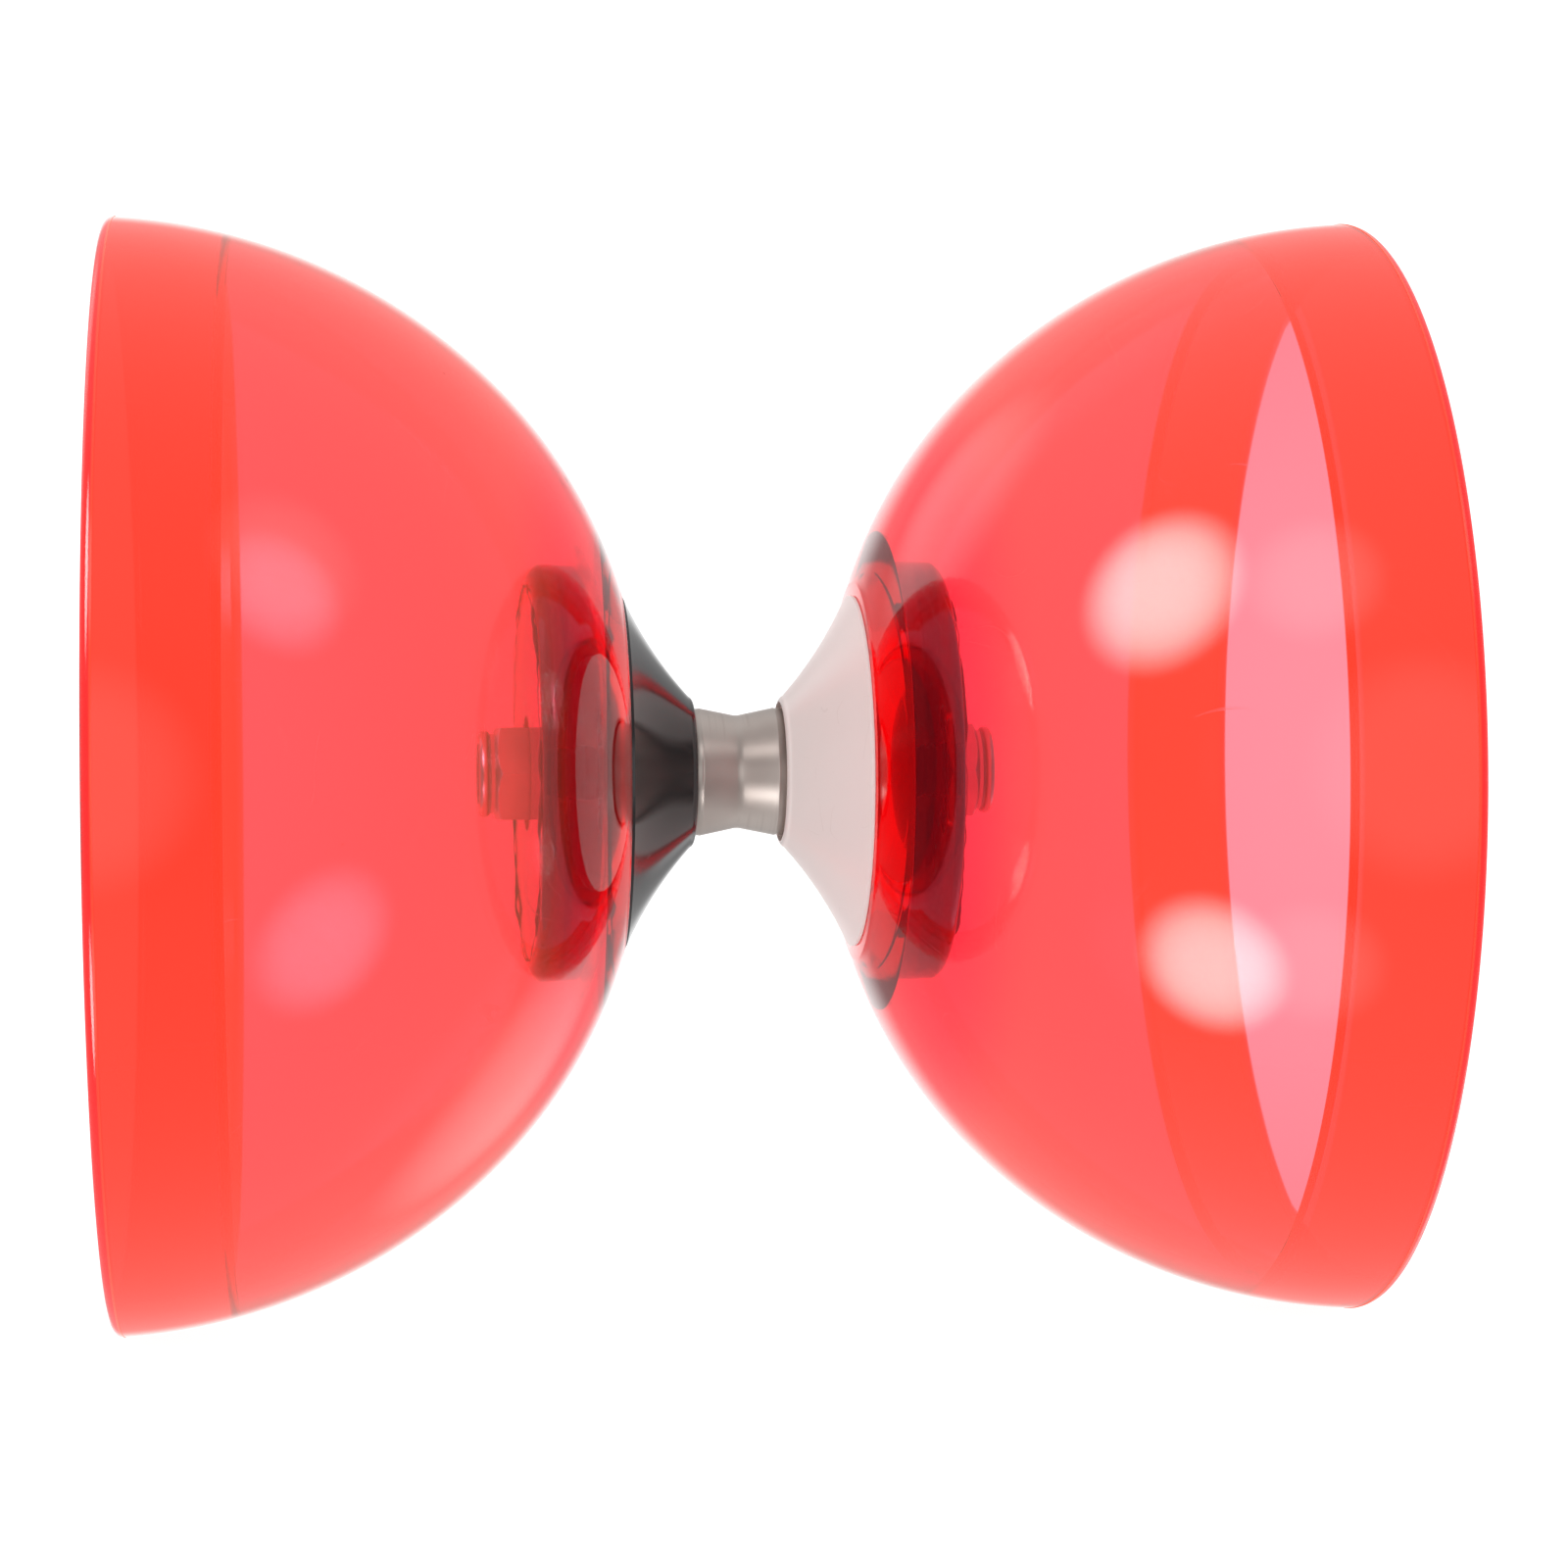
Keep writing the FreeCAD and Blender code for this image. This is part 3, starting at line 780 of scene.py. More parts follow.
def bump(tree: Tree, shader: bpy.types.Node, height: object, distance: float, strength: float) -> None:
    """Gives a shader a bumped normal.

    Args:
        tree: The material's tree.
        shader: Its shader.
        height: The height, 0 to 1.
        distance: How far a height of 1 stands up, in metres.
        strength: How much of the bump shows.
    """
    node = tree.add("ShaderNodeBump")
    tree.wire(node, Height=height, Distance=distance, Strength=strength)
    tree.feed(shader.inputs["Normal"], node.outputs[0])


def along_axle(tree: Tree, position: object) -> bpy.types.NodeSocket:
    """The distance along the axle from its middle, in metres."""
    return tree.math("ABSOLUTE", tree.split(position)["X"])


@dataclass(frozen=True)
class ClearPlastic:
    """Tinted clear plastic, coloured by the depth that light goes through.

    The rim band is a deeper orange red. A faint painted glow stands for the light that the plastic scatters,
    and a stronger painted glow lightens the rim band and the lip.
    """

    name: str
    depth_colour: Colour = (0.981, 0.02, 0.22, 1.0)
    density: float = 770.0
    painted_hub_glow: Colour = (0.022, 0.001, 0.002, 1.0)
    bowl_glow: Colour = (0.03, 0.040, 0.015, 1.0)
    band_start: float = 0.0551
    band_tint: Colour = (1.0, 0.18, 0.09, 1.0)
    painted_band_glow: Colour = (0.12, 0.044, 0.020, 1.0)
    painted_lip_glow: Colour = (0.3, 0.02, 0.02, 1.0)
    lip_start: float = 0.0662
    roughness: float = 0.018
    ior: float = 1.49
    band_blend: float = 0.0004
    lip_blend: float = 0.0006
    floor_end: float = 0.019
    wall_start: float = 0.027
    dirt_colour: Colour = (0.12, 0.01, 0.02, 1.0)

    def material(self, effects: SharedEffects) -> bpy.types.Material:
        """Builds the finish.

        Args:
            effects: The shared effects.

        Returns:
            The material.
        """
        material, tree, shader, position = new_material(self.name)
        along = along_axle(tree, position)
        band = tree.step(along, self.band_start, self.band_start + self.band_blend, 0.0, 1.0)
        colour = tree.mix(band, (1.0, 1.0, 1.0, 1.0), self.band_tint)
        dirt = tree.use(effects.specks, Position=position, Spacing=0.011, Size=0.00016, Share=0.3)
        colour = tree.mix(dirt.outputs["Mask"], colour, self.dirt_colour)
        tree.feed(shader.inputs["Base Color"], colour)
        # Painted light: the emission paints a glow into the hub, the bowl wall, the rim band and the lip,
        # though none of them is a lamp.
        thin = tree.step(along, self.floor_end, self.wall_start, 0.0, 1.0)
        glow = tree.mix(band, tree.mix(thin, self.painted_hub_glow, self.bowl_glow), self.painted_band_glow)
        lip = tree.step(along, self.lip_start, self.lip_start + self.lip_blend, 0.0, 1.0)
        tree.feed(shader.inputs["Emission Color"], tree.mix(lip, glow, self.painted_lip_glow))
        shader.inputs["Emission Strength"].default_value = 1.0

        grain = tree.use(effects.grain, Position=position, Size=0.0035)
        scratch = tree.use(effects.hairlines, Position=position, Size=0.016, Width=0.0011, Share=0.44)
        rubbed = tree.step(grain.outputs["Height"], 0.42, 0.62, 0.15, 1.0)
        scuff = tree.times(tree.times(lip, 0.1), rubbed)
        rough = tree.plus(self.roughness, tree.times(scratch.outputs["Mask"], 0.16))
        rough = tree.plus(rough, tree.times(grain.outputs["Tone"], 0.02))
        tree.feed(shader.inputs["Roughness"], tree.plus(rough, scuff))
        bump(tree, shader, grain.outputs["Tone"], 0.00006, 0.3)

        shader.inputs["IOR"].default_value = self.ior
        shader.inputs["Transmission Weight"].default_value = 1.0
        depth = tree.add("ShaderNodeVolumeAbsorption")
        depth.inputs["Color"].default_value = self.depth_colour
        depth.inputs["Density"].default_value = self.density
        output = next(node for node in tree.tree.nodes if node.type == "OUTPUT_MATERIAL")
        tree.feed(output.inputs["Volume"], depth.outputs[0])
        return material


@dataclass(frozen=True)
class MouldedPlastic:
    """Opaque moulded plastic with fine grain, hairline scratches and a little dust."""

    name: str
    colour: Colour
    worn_colour: Colour
    roughness: float
    grain_size: float = 0.0004
    grain_strength: float = 0.06

    def material(self, effects: SharedEffects) -> bpy.types.Material:
        """Builds the finish.

        Args:
            effects: The shared effects.

        Returns:
            The material.
        """
        material, tree, shader, position = new_material(self.name)
        grain = tree.use(effects.grain, Position=position, Size=self.grain_size)
        scratch = tree.use(effects.hairlines, Position=position, Size=0.006, Width=0.0016, Share=0.47)
        dust = tree.use(effects.specks, Position=position, Spacing=0.0028, Size=0.00006, Share=0.28)
        broad = tree.use(effects.grain, Position=position, Size=0.0022)
        worn = tree.times(scratch.outputs["Mask"], 0.35)
        worn = tree.math("MAXIMUM", worn, tree.times(dust.outputs["Mask"], 0.5))
        worn = tree.math("MAXIMUM", worn, tree.step(broad.outputs["Tone"], 0.45, 0.75, 0.0, 0.12))
        tree.feed(shader.inputs["Base Color"], tree.mix(worn, self.colour, self.worn_colour))
        rough = tree.plus(self.roughness, tree.times(broad.outputs["Height"], 0.05))
        rough = tree.plus(rough, tree.times(scratch.outputs["Mask"], 0.12))
        tree.feed(shader.inputs["Roughness"], rough)
        bump(tree, shader, grain.outputs["Height"], 0.00003, self.grain_strength)
        shader.inputs["IOR"].default_value = 1.5
        return material


@dataclass(frozen=True)
class TurnedSteel:
    """Steel with fine turning rings, hairlines and a soft change of tone."""

    name: str
    colour: Colour
    stain_colour: Colour
    roughness: float
    ring_pitch: float = 0.00016
    ring_strength: float = 0.25

    def material(self, effects: SharedEffects) -> bpy.types.Material:
        """Builds the finish.

        Args:
            effects: The shared effects.

        Returns:
            The material.
        """
        material, tree, shader, position = new_material(self.name)
        rings = tree.use(effects.lathe_rings, Position=position, Pitch=self.ring_pitch)
        scratch = tree.use(effects.hairlines, Position=position, Size=0.003, Width=0.0022, Share=0.46)
        grain = tree.use(effects.grain, Position=position, Size=0.0012)
        stain = tree.step(grain.outputs["Tone"], 0.38, 0.68, 0.0, 0.6)
        streak = tree.times(tree.step(rings.outputs["Tone"], 0.5, 0.7, 0.0, 1.0), 0.3)
        stain = tree.math("MAXIMUM", stain, streak)
        tree.feed(shader.inputs["Base Color"], tree.mix(stain, self.colour, self.stain_colour))
        rough = tree.plus(self.roughness, tree.times(rings.outputs["Tone"], 0.12))
        rough = tree.plus(rough, tree.times(scratch.outputs["Mask"], 0.1))
        tree.feed(shader.inputs["Roughness"], rough)
        bump(tree, shader, rings.outputs["Height"], 0.00001, self.ring_strength)
        shader.inputs["Metallic"].default_value = 1.0
        return material


class Finishes:
    """Every finish of the diabolo, built once."""

    def __init__(self) -> None:
        """Builds the shared effects and the materials."""
        effects = SharedEffects()
        clear, moulded, steel = ClearPlastic, MouldedPlastic, TurnedSteel
        # A faint painted red glow for the hub disc, standing in for light that the plastic scatters.
        painted_faint_red_glow = (0.022, 0.001, 0.002, 1.0)
        recipes = {
            "clear_cup": clear("clear_red_cup"),
            "clear_hub": clear("clear_red_hub", (0.955, 0.03, 0.04, 1.0), 1500.0, bowl_glow=painted_faint_red_glow,
                               band_start=1.0, lip_start=1.0),
            "glue": moulded("dried_glue", (0.16, 0.012, 0.02, 1.0), (0.3, 0.03, 0.04, 1.0), 0.3),
            "black": moulded("glossy_black_plastic", (0.012, 0.011, 0.012, 1.0), (0.06, 0.055, 0.055, 1.0),
                             0.1, grain_strength=0.03),
            "white": moulded("satin_white_plastic", (0.93, 0.86, 0.83, 1.0), (0.76, 0.68, 0.64, 1.0), 0.3),
            "nylon": moulded("milky_nylon", (0.62, 0.63, 0.6, 1.0), (0.4, 0.4, 0.36, 1.0), 0.42),
            "sleeve": steel("turned_sleeve_steel", (0.57, 0.50, 0.46, 1.0), (0.40, 0.33, 0.30, 1.0), 0.28,
                            ring_strength=0.12),
            "zinc": steel("zinc_plated_steel", (0.71, 0.70, 0.67, 1.0), (0.5, 0.5, 0.49, 1.0), 0.26, 0.0003),
            "axle": steel("hardened_axle_steel", (0.5, 0.49, 0.47, 1.0), (0.3, 0.29, 0.28, 1.0), 0.24),
            "bearing": steel("ground_bearing_steel", (0.66, 0.66, 0.66, 1.0), (0.5, 0.5, 0.5, 1.0), 0.12,
                             0.0001, 0.08),
            "cage": steel("pressed_cage_steel", (0.52, 0.5, 0.46, 1.0), (0.36, 0.33, 0.28, 1.0), 0.3),
            "shield": steel("pressed_shield_steel", (0.58, 0.58, 0.57, 1.0), (0.42, 0.42, 0.41, 1.0), 0.22),
            "spring": steel("blued_spring_steel", (0.4, 0.39, 0.38, 1.0), (0.26, 0.24, 0.22, 1.0), 0.25),
        }
        for name, recipe in recipes.items():
            setattr(self, name, recipe.material(effects))


def dress(finish: bpy.types.Material, *names: str) -> None:
    """Gives nodes that keep their own shape a finish.

    Args:
        finish: The material.
        *names: The nodes.
    """
    for name in names:
        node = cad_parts[name]
        node.data.materials.clear()
        node.data.materials.append(finish)
        LOG.info("%s: kept, finish %s", name, finish.name)


# ------------------------------------------------------------------------------------------ sub-assemblies


@dataclass
class Cup:
    """One clear cup: a bowl of two tangent arcs, a thicker band at its rim, a solid floor round the hub."""

    side: Side
    half_length: float = 67.5
    nose_face: float = 12.93
    nose_edge: float = 20.9
    bowl_start: Point = (13.3, 21.7)
    nose_slope: float = math.radians(71.0)
    shoulder_slope: float = math.radians(45.0)
    rim_slope: float = math.radians(2.5)
    nose_arc: float = 53.5
    wall: float = 2.2
    band_wall: float = 3.5
    band_width: float = 12.4
    band_step: float = 0.35
    rim_round: float = 1.15
    floor_face: float = 17.1
    bore: float = 13.55
    segments: int = 256
    steps: int = 40

    def rim_radius(self) -> float:
        """The rim's outer radius in the frame, in millimetres."""
        low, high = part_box(self.side.node("cup"))
        return min(-low.y, -low.z, high.y, high.z) / MM

    def arcs(self) -> tuple[Point, Point, float]:
        """The outer bowl's two arcs.

        Returns:
            The nose arc's centre, the rim arc's centre and the rim arc's radius.
        """
        x, radius = self.bowl_start
        arc = self.nose_arc
        nose = (x + arc * math.sin(self.nose_slope), radius - arc * math.cos(self.nose_slope))
        join_x = nose[0] - arc * math.sin(self.shoulder_slope)
        join_radius = nose[1] + arc * math.cos(self.shoulder_slope)
        rise = math.cos(self.rim_slope) - math.cos(self.shoulder_slope)
        size = (self.rim_radius() - 0.04 - join_radius) / rise
        rim_x = join_x + size * math.sin(self.shoulder_slope)
        return nose, (rim_x, join_radius - size * math.cos(self.shoulder_slope)), size

    def outline(self) -> list[Point]:
        """The cup's outline: out along the bowl, round the lip, back along the band and the floor."""
        nose, rim, size = self.arcs()
        up = RIGHT_ANGLE
        radius = self.rim_radius()
        inner_nose = self.nose_arc - self.wall
        inner_rim = size - self.wall
        band = size - self.band_wall
        band_x = self.half_length - self.band_width
        lip_x = self.half_length - self.rim_round
        step_slope = math.asin((rim[0] - band_x) / inner_rim)
        band_slope = math.asin((rim[0] - band_x - self.band_step) / band)
        lip_slope = math.asin((rim[0] - lip_x) / band)
        floor_slope = math.asin((nose[0] - self.floor_face) / inner_nose)
        band_end = rim[1] + band * math.cos(lip_slope)

        outline = Outline().to((self.nose_face, self.bore), (self.nose_face, self.nose_edge - 0.2))
        edge = (self.nose_face + 0.18, self.nose_edge + 0.2)
        outline.bend((self.nose_face + 0.07, self.nose_edge - 0.04), edge, 4)
        outline.arc(nose, self.nose_arc, up + self.nose_slope, up + self.shoulder_slope, self.steps)
        outline.arc(rim, size, up + self.shoulder_slope - 0.015, up + self.rim_slope, self.steps)
        outline.arc((lip_x, radius - self.rim_round), self.rim_round, up, 0.0, 10)
        outline.arc((lip_x, band_end + self.rim_round), self.rim_round, 0.0, -up, 10)
        outline.arc(rim, band, up + lip_slope + 0.01, up + band_slope - 0.006, 14)
        outline.arc(rim, inner_rim, up + step_slope + 0.009, up + self.shoulder_slope, self.steps)
        outline.arc(nose, inner_nose, up + self.shoulder_slope + 0.015, up + floor_slope, self.steps)
        return outline.to((self.floor_face, self.bore)).points

    def build(self, shop: Workshop, finishes: Finishes) -> None:
        """Makes the cup."""
        name = self.side.node("cup")
        outline = self.side.mirrored(self.outline())
        piece = shop.turn(name + "_shell", outline, self.segments, finishes.clear_cup)
        settled(piece, "core", "clear_cup", name)


@dataclass
class HubPlate:
    """The thick clear disc under the nut, with a rounded outer edge, a sunk nut seat and its bead of glue."""

    side: Side
    face: float = 17.15
    back: float = 22.15
    bore: float = 3.1
    radius: float = 22.88
    bevel: float = 0.45
    crown_start: float = 21.5
    crown_face: float = 22.75
    crown_radius: float = 20.6
    seat: float = 6.3
    glue_thickness: float = 0.2
    glue_wander: float = 1.1

    def outline(self) -> list[Point]:
        """The disc's outline."""
        outline = Outline().to((self.face, self.bore), (self.face, self.radius - self.bevel))
        outline.to((self.face + self.bevel, self.radius), (self.crown_start, self.radius))
        crown = (self.crown_face - 0.38, self.crown_radius + 1.48)
        outline.bend(crown, (self.crown_face, self.crown_radius), 12)
        outline.to((self.crown_face, self.seat), (self.back, self.seat), (self.back, self.bore))
        return outline.points

    def build(self, shop: Workshop, finishes: Finishes) -> None:
        """Makes the disc and the glue round its crown."""
        name = self.side.node("hub_plate")
        piece = shop.turn(name + "_disc", self.side.mirrored(self.outline()), 192, finishes.clear_hub)
        settled(piece, "core", "clear_hub", name)
        bead = grown(
            self.side.node("glue_bead"), bpy.data.meshes.new("bead_base"), shop.glue,
            Radius=(self.crown_radius - 0.1) * MM, Thickness=self.glue_thickness * MM,
            Wander=self.glue_wander * MM, Along=self.side.value * (self.crown_face + 0.12) * MM,
            Seed=3.0 + self.side.value, Finish=finishes.glue,
        )
        settled(tidied(bead, 60.0), "core", "clear_hub")


@dataclass
class Cone:
    """The flared collar that guides the string, with its spigot through the cup's floor."""

    side: Side
    tip: float = 4.8
    lip_radius: float = 7.65
    lip_depth: float = 0.6
    flare_middle: Point = (9.15, 13.35)
    edge_radius: float = 19.3
    edge_thickness: float = 0.4
    nose_face: float = 12.9
    spigot: float = 13.5
    spigot_end: float = 17.1
    pocket_radius: float = 6.1
    pocket_depth: float = 1.0
    bore: float = 3.05
    socket_radius: float = 7.25
    socket_floor: float = 9.6

    def outline(self) -> list[Point]:
        """The cone's outline."""
        flare_end = (self.nose_face - self.edge_thickness, self.edge_radius)
        pocket = self.spigot_end - self.pocket_depth
        outline = Outline().to((self.tip, self.lip_radius))
        outline.bend((self.tip + 0.14, 8.08), (self.tip + 0.45, 8.35), 8)
        outline.bend(self.flare_middle, flare_end, 48)
        outline.to((self.nose_face - 0.06, self.edge_radius), (self.nose_face, self.edge_radius - 0.06))
        outline.to((self.nose_face, self.spigot), (self.spigot_end, self.spigot))
        outline.to((self.spigot_end, self.pocket_radius), (pocket, self.pocket_radius), (pocket, self.bore))
        outline.to((self.socket_floor, self.bore), (self.socket_floor, self.socket_radius))
        lip_floor = self.tip + self.lip_depth
        outline.to((lip_floor, self.socket_radius), (lip_floor, self.lip_radius))
        return outline.points

    def build(self, shop: Workshop, finishes: Finishes) -> None:
        """Makes the cone, black on the left and white on the right."""
        name = self.side.node("cone")
        finish, slot = finishes.white, "white_cone"
        if self.side is Side.LEFT:
            finish, slot = finishes.black, "black_cone"
        piece = shop.turn(name + "_collar", self.side.mirrored(self.outline()), 192, finish)
        settled(piece, "core", slot, name)


@dataclass
class LockNut:
    """A self-locking nut with a rolled collar and a nylon ring, and the washer of its side."""

    side: Side
    seat: float = 22.15
    flats: float = 10.0
    hex_height: float = 4.3
    height: float = 6.05
    bore: float = 3.0
    face_radius: float = 4.7
    chamfer_slope: float = math.radians(28.0)
    neck: float = 4.35
    collar: float = 4.75
    collar_lip: float = 3.3
    bead: float = 0.62
    insert_start: float = 4.35
    insert_end: float = 5.6
    insert_radius: float = 4.0
    insert_bore: float = 2.97
    washer_end: float = 17.1

    def outline(self) -> list[Point]:
        """The nut's outline, whose corners the six flats then cut."""
        corner = self.flats / math.sqrt(3) + 0.1
        run = (corner - self.face_radius) * math.tan(self.chamfer_slope)
        top = self.seat + self.hex_height
        end = self.seat + self.height
        outline = Outline().to((self.seat, self.bore + 0.35), (self.seat, self.face_radius))
        outline.line((self.seat + run, corner), 14).line((top - run, corner), 6)
        outline.line((top, self.face_radius), 14)
        outline.to((top, self.neck + 0.12), (top + 0.12, self.neck))
        outline.line((end - 2 * self.bead, self.neck), 2)
        outline.bend((end - self.bead, self.collar), (end, self.neck - 0.25), 16)
        outline.to((end, self.collar_lip), (self.seat + self.insert_end, self.collar_lip))
        outline.to((self.seat + self.insert_end, self.insert_radius))
        shoulder = self.seat + self.insert_start
        outline.to((shoulder, self.insert_radius), (shoulder, self.bore))
        return outline.to((self.seat + 0.35, self.bore)).points

    def build(self, shop: Workshop, finishes: Finishes) -> None:
        """Makes the nut, its nylon ring and the washer."""
        name = self.side.node("lock_nut")
        body = self.side.mirrored(self.outline())
        piece = shop.turn(name + "_body", body, 240, finishes.zinc, flats=self.flats)
        settled(piece, "core", "zinc_steel", name)
        name = self.side.node("nut_insert")
        ring = ring_outline(self.seat + self.insert_start, self.seat + self.insert_end, self.insert_bore,
                            self.insert_radius, 0.12)
        piece = shop.turn(name + "_ring", self.side.mirrored(ring), 96, finishes.nylon)
        settled(piece, "core", "nylon", name)
        name = self.side.node("washer")
        ring = ring_outline(self.washer_end - 1.0, self.washer_end, 3.2, 6.0, 0.1)
        piece = shop.turn(name + "_ring", self.side.mirrored(ring), 128, finishes.zinc)
        settled(piece, "core", "zinc_steel", name)


@dataclass
class AxleStud:
    """The hardened axle with its two threaded ends."""

    radius: float = 3.0
    thread: Thread = Thread(2.94, 0.45, 1.0, 18.2)
    half_length: float = 28.0
    chamfer: float = 0.7
    plain_end: float = 17.15
    relief: float = 0.8

    def half(self) -> list[Point]:
        """The right half's outline, from the middle to the end's centre."""
        outline = Outline().to((0.0, self.radius), (self.plain_end, self.radius))
        outline.to((self.plain_end + self.relief, self.thread.radius))
        outline.line((self.half_length - self.chamfer, self.thread.radius), 110)
        outline.line((self.half_length, self.thread.radius - self.chamfer), 8)
        return outline.to((self.half_length, 0.0)).points

    def build(self, shop: Workshop, finishes: Finishes) -> None:
        """Makes the stud."""
        right = self.half()
        left = Side.LEFT.mirrored(reversed(right[1:]))
        piece = shop.turn("axle_stud_bar", left + right, 96, finishes.axle, thread=self.thread)
        settled(piece, "core", "axle_steel", "axle_stud")


@dataclass
class StringSleeve:
    """The turned steel sleeve: two tapers that meet in a waist, plain lands under the cones."""

    half_length: float = 9.3
    bore: float = 5.0
    land: float = 6.95
    groove_radius: float = 7.0
    groove_half_width: float = 4.1
    waist: float = 6.15
    blend: float = 0.45
    edge_break: float = 0.15

    def half(self) -> list[Point]:
        """The right half's outline, from the waist to the bore."""
        slope = (self.groove_radius - self.waist) / self.groove_half_width
        shoulder = self.groove_half_width + self.edge_break
        outline = Outline().to((0.0, self.waist + slope * self.blend / 2))
        outline.to((self.blend / 2, self.waist + slope * self.blend * 0.62))
        outline.to((self.blend, self.waist + slope * self.blend))
        outline.line((self.groove_half_width - 0.1, self.groove_radius - 0.02), 6)
        outline.bend((self.groove_half_width, self.groove_radius - 0.004), (shoulder, self.land), 4)
        outline.line((self.half_length - self.edge_break, self.land), 6)
        outline.to((self.half_length, self.land - self.edge_break), (self.half_length, self.bore))
        return outline.points

    def build(self, shop: Workshop, finishes: Finishes) -> None:
        """Makes the sleeve."""
        right = self.half()
        left = Side.LEFT.mirrored(reversed(right[1:]))
        piece = shop.turn("string_sleeve_tube", left + right, 192, finishes.sleeve)
        settled(piece, "sleeve", "sleeve_steel", "string_sleeve")


@dataclass
class Bearing:
    """One ball bearing and the spacer beside it."""

    side: Side
    start: float = 6.1
    width: float = 3.0
    outer: float = 4.99
    inner: float = 3.01
    outer_land: float = 4.36
    inner_land: float = 3.64
    pitch: float = 4.0
    race: float = 0.53
    ball: float = 0.5
    balls: int = 13
    spacer_end: float = 9.6
    spacer_radius: float = 3.6

    def ring(self, land: float, far: float) -> list[Point]:
        """A bearing ring's outline.

        Args:
            land: The radius of its shoulders beside the track.
            far: The radius of its other face.

        Returns:
            The outline's points.
        """
        middle = self.start + self.width / 2
        half = math.sqrt(self.race**2 - (land - self.pitch) ** 2)
        bottom = self.pitch + math.copysign(self.race, land - self.pitch)
        end = self.start + self.width
        turn = math.copysign(0.1, far - land)
        outline = Outline().to((self.start, land), (middle - half, land))
        outline.bend((middle, bottom), (middle + half, land), 14)
        outline.to((end, land), (end, far - turn), (end - 0.1, far))
        return outline.to((self.start + 0.1, far), (self.start, far - turn)).points

    def build(self, shop: Workshop, finishes: Finishes) -> None:
        """Makes the rings, the balls and the spacer, and dresses the cage and the shields."""
        for part, body, land, far in (
            ("bearing_outer_ring", "sleeve", self.outer_land, self.outer),
            ("bearing_inner_ring", "core", self.inner_land, self.inner),
        ):
            name = self.side.node(part)
            piece = shop.turn(name + "_race", self.side.mirrored(self.ring(land, far)), 128, finishes.bearing)
            settled(piece, body, "bearing_steel", name)
        name = self.side.node("bearing_balls")
        middle = self.side.value * (self.start + self.width / 2)
        piece = shop.roll(RollingShape.BALL, name + "_set", finishes.bearing, self.balls, self.pitch,
                          self.ball, 0.0, middle)
        settled(piece, self.side.node("ball_set"), "bearing_steel", name)
        name = self.side.node("bearing_spacer")
        ring = ring_outline(self.start + self.width, self.spacer_end, 3.05, self.spacer_radius, 0.04)
        piece = shop.turn(name + "_ring", self.side.mirrored(ring), 96, finishes.zinc)
        settled(piece, "core", "zinc_steel", name)
        dress(finishes.cage, self.side.node("bearing_cage"))
        dress(finishes.shield, self.side.node("bearing_shields"))


@dataclass
class Clutch:
    """The one-way clutch inside the sleeve."""

    roller: float = 0.8
    roller_length: float = 8.0
    rollers: int = 8
    pitch: float = 3.82

    def build(self, shop: Workshop, finishes: Finishes) -> None:
        """Makes the rollers and dresses the shell, the cage and the springs."""
        piece = shop.roll(RollingShape.ROLLER, "clutch_roller_set", finishes.bearing, self.rollers,
                          self.pitch, self.roller, self.roller_length, 0.0)
        settled(piece, "sleeve", "bearing_steel", "clutch_rollers")
        dress(finishes.bearing, "clutch_shell")
        dress(finishes.nylon, "clutch_cage")
        dress(finishes.spring, "clutch_springs")


# ---------------------------------------------------------------------------------------------- the studio


@dataclass(frozen=True)
class SoftBox:
    """A soft box that shows in the diabolo's gloss."""

    towards: tuple[float, float, float]
    spread: float
    power: float

    def glow(self, tree: Tree, direction: object) -> bpy.types.NodeSocket:
        """How bright it is in a direction.

        Args:
            tree: The world's tree.
            direction: The direction looked in.

        Returns:
            Its brightness.
        """
        towards = tuple(Vector(self.towards).normalized())
        facing = tree.vector("DOT_PRODUCT", direction, towards).outputs["Value"]
        edge = math.cos(math.radians(self.spread))
        return tree.step(facing, edge, 1.0, 0.0, self.power)


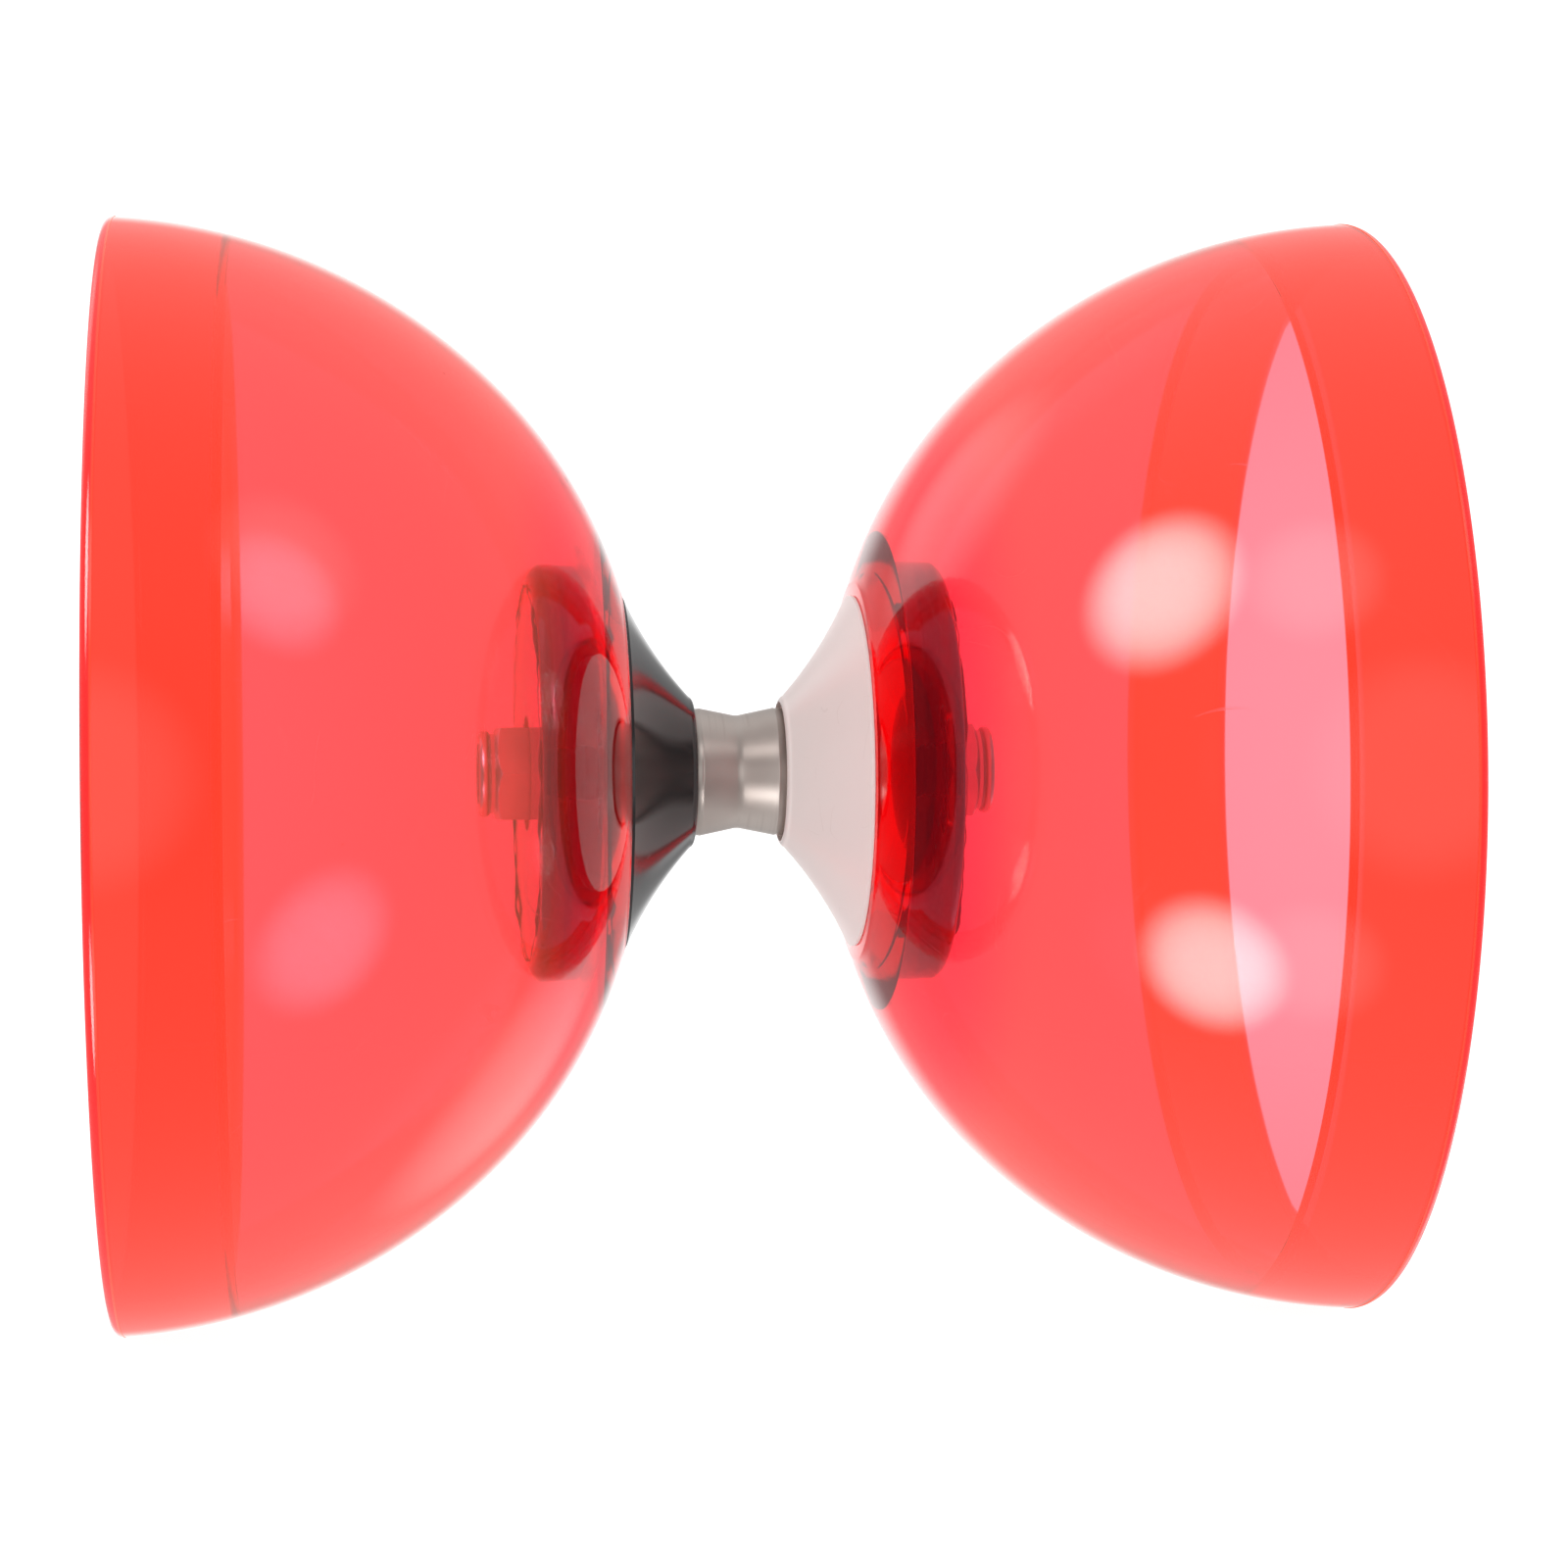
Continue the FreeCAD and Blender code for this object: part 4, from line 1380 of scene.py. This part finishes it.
@dataclass
class Studio:
    """A white room with soft boxes on both sides, a pale floor and the camera."""

    backdrop: float = 1.3
    fill: float = 1.15
    boxes: tuple[SoftBox, ...] = (
        SoftBox((-0.70, -0.43, 0.56), 18.0, 13.0),
        SoftBox((-0.58, -0.52, -0.63), 16.0, 12.0),
        SoftBox((-0.30, -0.72, 0.62), 15.0, 1.6),
        SoftBox((-0.30, -0.70, -0.64), 15.0, 1.3),
        SoftBox((0.58, -0.50, 0.64), 16.0, 0.9),
        SoftBox((-0.62, 0.62, 0.48), 20.0, 0.9),
        SoftBox((0.62, 0.62, -0.48), 20.0, 0.9),
    )
    camera_place: tuple[float, float, float] = (-0.0442, -0.4393, 0.0029)
    yaw: float = math.radians(6.436)
    pitch: float = math.radians(-0.558)
    roll: float = math.radians(0.458)
    lens: float = 92.34
    floor_radius: float = 6.0
    floor_gap: float = 0.0002
    floor_matt: float = 0.3
    shadow_start: float = 0.07
    shadow_end: float = 0.32

    def build_camera(self) -> None:
        """Makes the camera and gives it to the scene."""
        data = bpy.data.cameras.new("studio_camera")
        data.lens = self.lens
        data.sensor_width = 36.0
        data.clip_start = 0.01
        data.clip_end = 50.0
        camera = bpy.data.objects.new("studio_camera", data)
        bpy.context.scene.collection.objects.link(camera)
        camera.location = self.camera_place
        camera.rotation_euler = (RIGHT_ANGLE + self.pitch, self.roll, -self.yaw)
        bpy.context.scene.camera = camera

    def build_world(self) -> None:
        """Makes the room: even white for the view and for clear plastic, softly lit walls for gloss."""
        world = bpy.data.worlds.new("studio")
        bpy.context.scene.world = world
        world.use_nodes = True
        tree = Tree(world.node_tree)
        direction = tree.add("ShaderNodeTexCoord").outputs["Generated"]
        parts = tree.split(direction)
        wall = tree.step(parts["Y"], -0.55, 0.45, 0.32, 0.5)
        lift = tree.times(tree.math("POWER", parts["Z"], 2.0), 0.3)
        ends = tree.step(tree.math("ABSOLUTE", parts["Y"]), 0.9, 0.985, 0.0, 0.75)
        gloss = tree.plus(tree.plus(wall, lift), ends)
        for box in self.boxes:
            gloss = tree.plus(gloss, box.glow(tree, direction))
        path = tree.add("ShaderNodeLightPath")
        mirrored = tree.minus(path.outputs["Is Glossy Ray"], path.outputs["Is Transmission Ray"])
        mirrored = tree.math("MAXIMUM", mirrored, 0.0)
        backdrop, fill = ((level, level, level, 1.0) for level in (self.backdrop, self.fill))
        plain = tree.mix(path.outputs["Is Diffuse Ray"], backdrop, fill)
        background = world.node_tree.nodes["Background"]
        tree.feed(background.inputs["Color"], tree.mix(mirrored, plain, gloss))

    def build_floor(self) -> None:
        """Makes the floor, which fades into the white room and takes a faint shadow near the diabolo."""
        mesh = bpy.data.meshes.new("floor")
        work = bmesh.new()
        bmesh.ops.create_circle(work, cap_ends=True, segments=96, radius=self.floor_radius)
        bmesh.ops.translate(work, verts=work.verts, vec=(0.0, 0.0, cad_box[0].z - self.floor_gap))
        work.to_mesh(mesh)
        work.free()
        floor = bpy.data.objects.new("floor", mesh)
        bpy.context.scene.collection.objects.link(floor)
        material, tree, shader, position = new_material("floor_paper")
        away = tree.vector("LENGTH", position).outputs["Value"]
        matt = tree.step(away, self.shadow_start, self.shadow_end, self.floor_matt, 0.0)
        shade = tree.add("ShaderNodeCombineColor")
        for socket in shade.inputs:
            tree.feed(socket, matt)
        tree.feed(shader.inputs["Base Color"], shade.outputs[0])
        glow = tree.add("ShaderNodeCombineColor")
        for socket in glow.inputs:
            tree.feed(socket, tree.minus(self.backdrop, tree.times(matt, self.fill)))
        tree.feed(shader.inputs["Emission Color"], glow.outputs[0])
        shader.inputs["Emission Strength"].default_value = 1.0
        shader.inputs["Specular IOR Level"].default_value = 0.0
        shader.inputs["Roughness"].default_value = 1.0
        mesh.materials.append(material)
        floor.visible_glossy = False
        floor.visible_diffuse = False
        floor.visible_shadow = False

    def build(self) -> None:
        """Makes the whole studio and sets how light travels."""
        self.build_camera()
        self.build_world()
        self.build_floor()
        scene = bpy.context.scene
        scene.view_settings.view_transform = "Standard"
        scene.cycles.max_bounces = 18
        scene.cycles.transmission_bounces = 18
        scene.cycles.glossy_bounces = 8
        scene.cycles.diffuse_bounces = 4
        scene.cycles.transparent_max_bounces = 16
        scene.cycles.use_denoising = True


def main() -> None:
    """Builds the studio and every piece in order."""
    logging.basicConfig(level=logging.INFO, format="%(name)s %(message)s")
    Studio().build()
    shop = Workshop()
    finishes = Finishes()
    for side in Side:
        for assembly in (Cup(side), HubPlate(side), Cone(side), LockNut(side), Bearing(side)):
            assembly.build(shop, finishes)
    for assembly in (AxleStud(), StringSleeve(), Clutch()):
        assembly.build(shop, finishes)


if __name__ == "__main__":
    main()
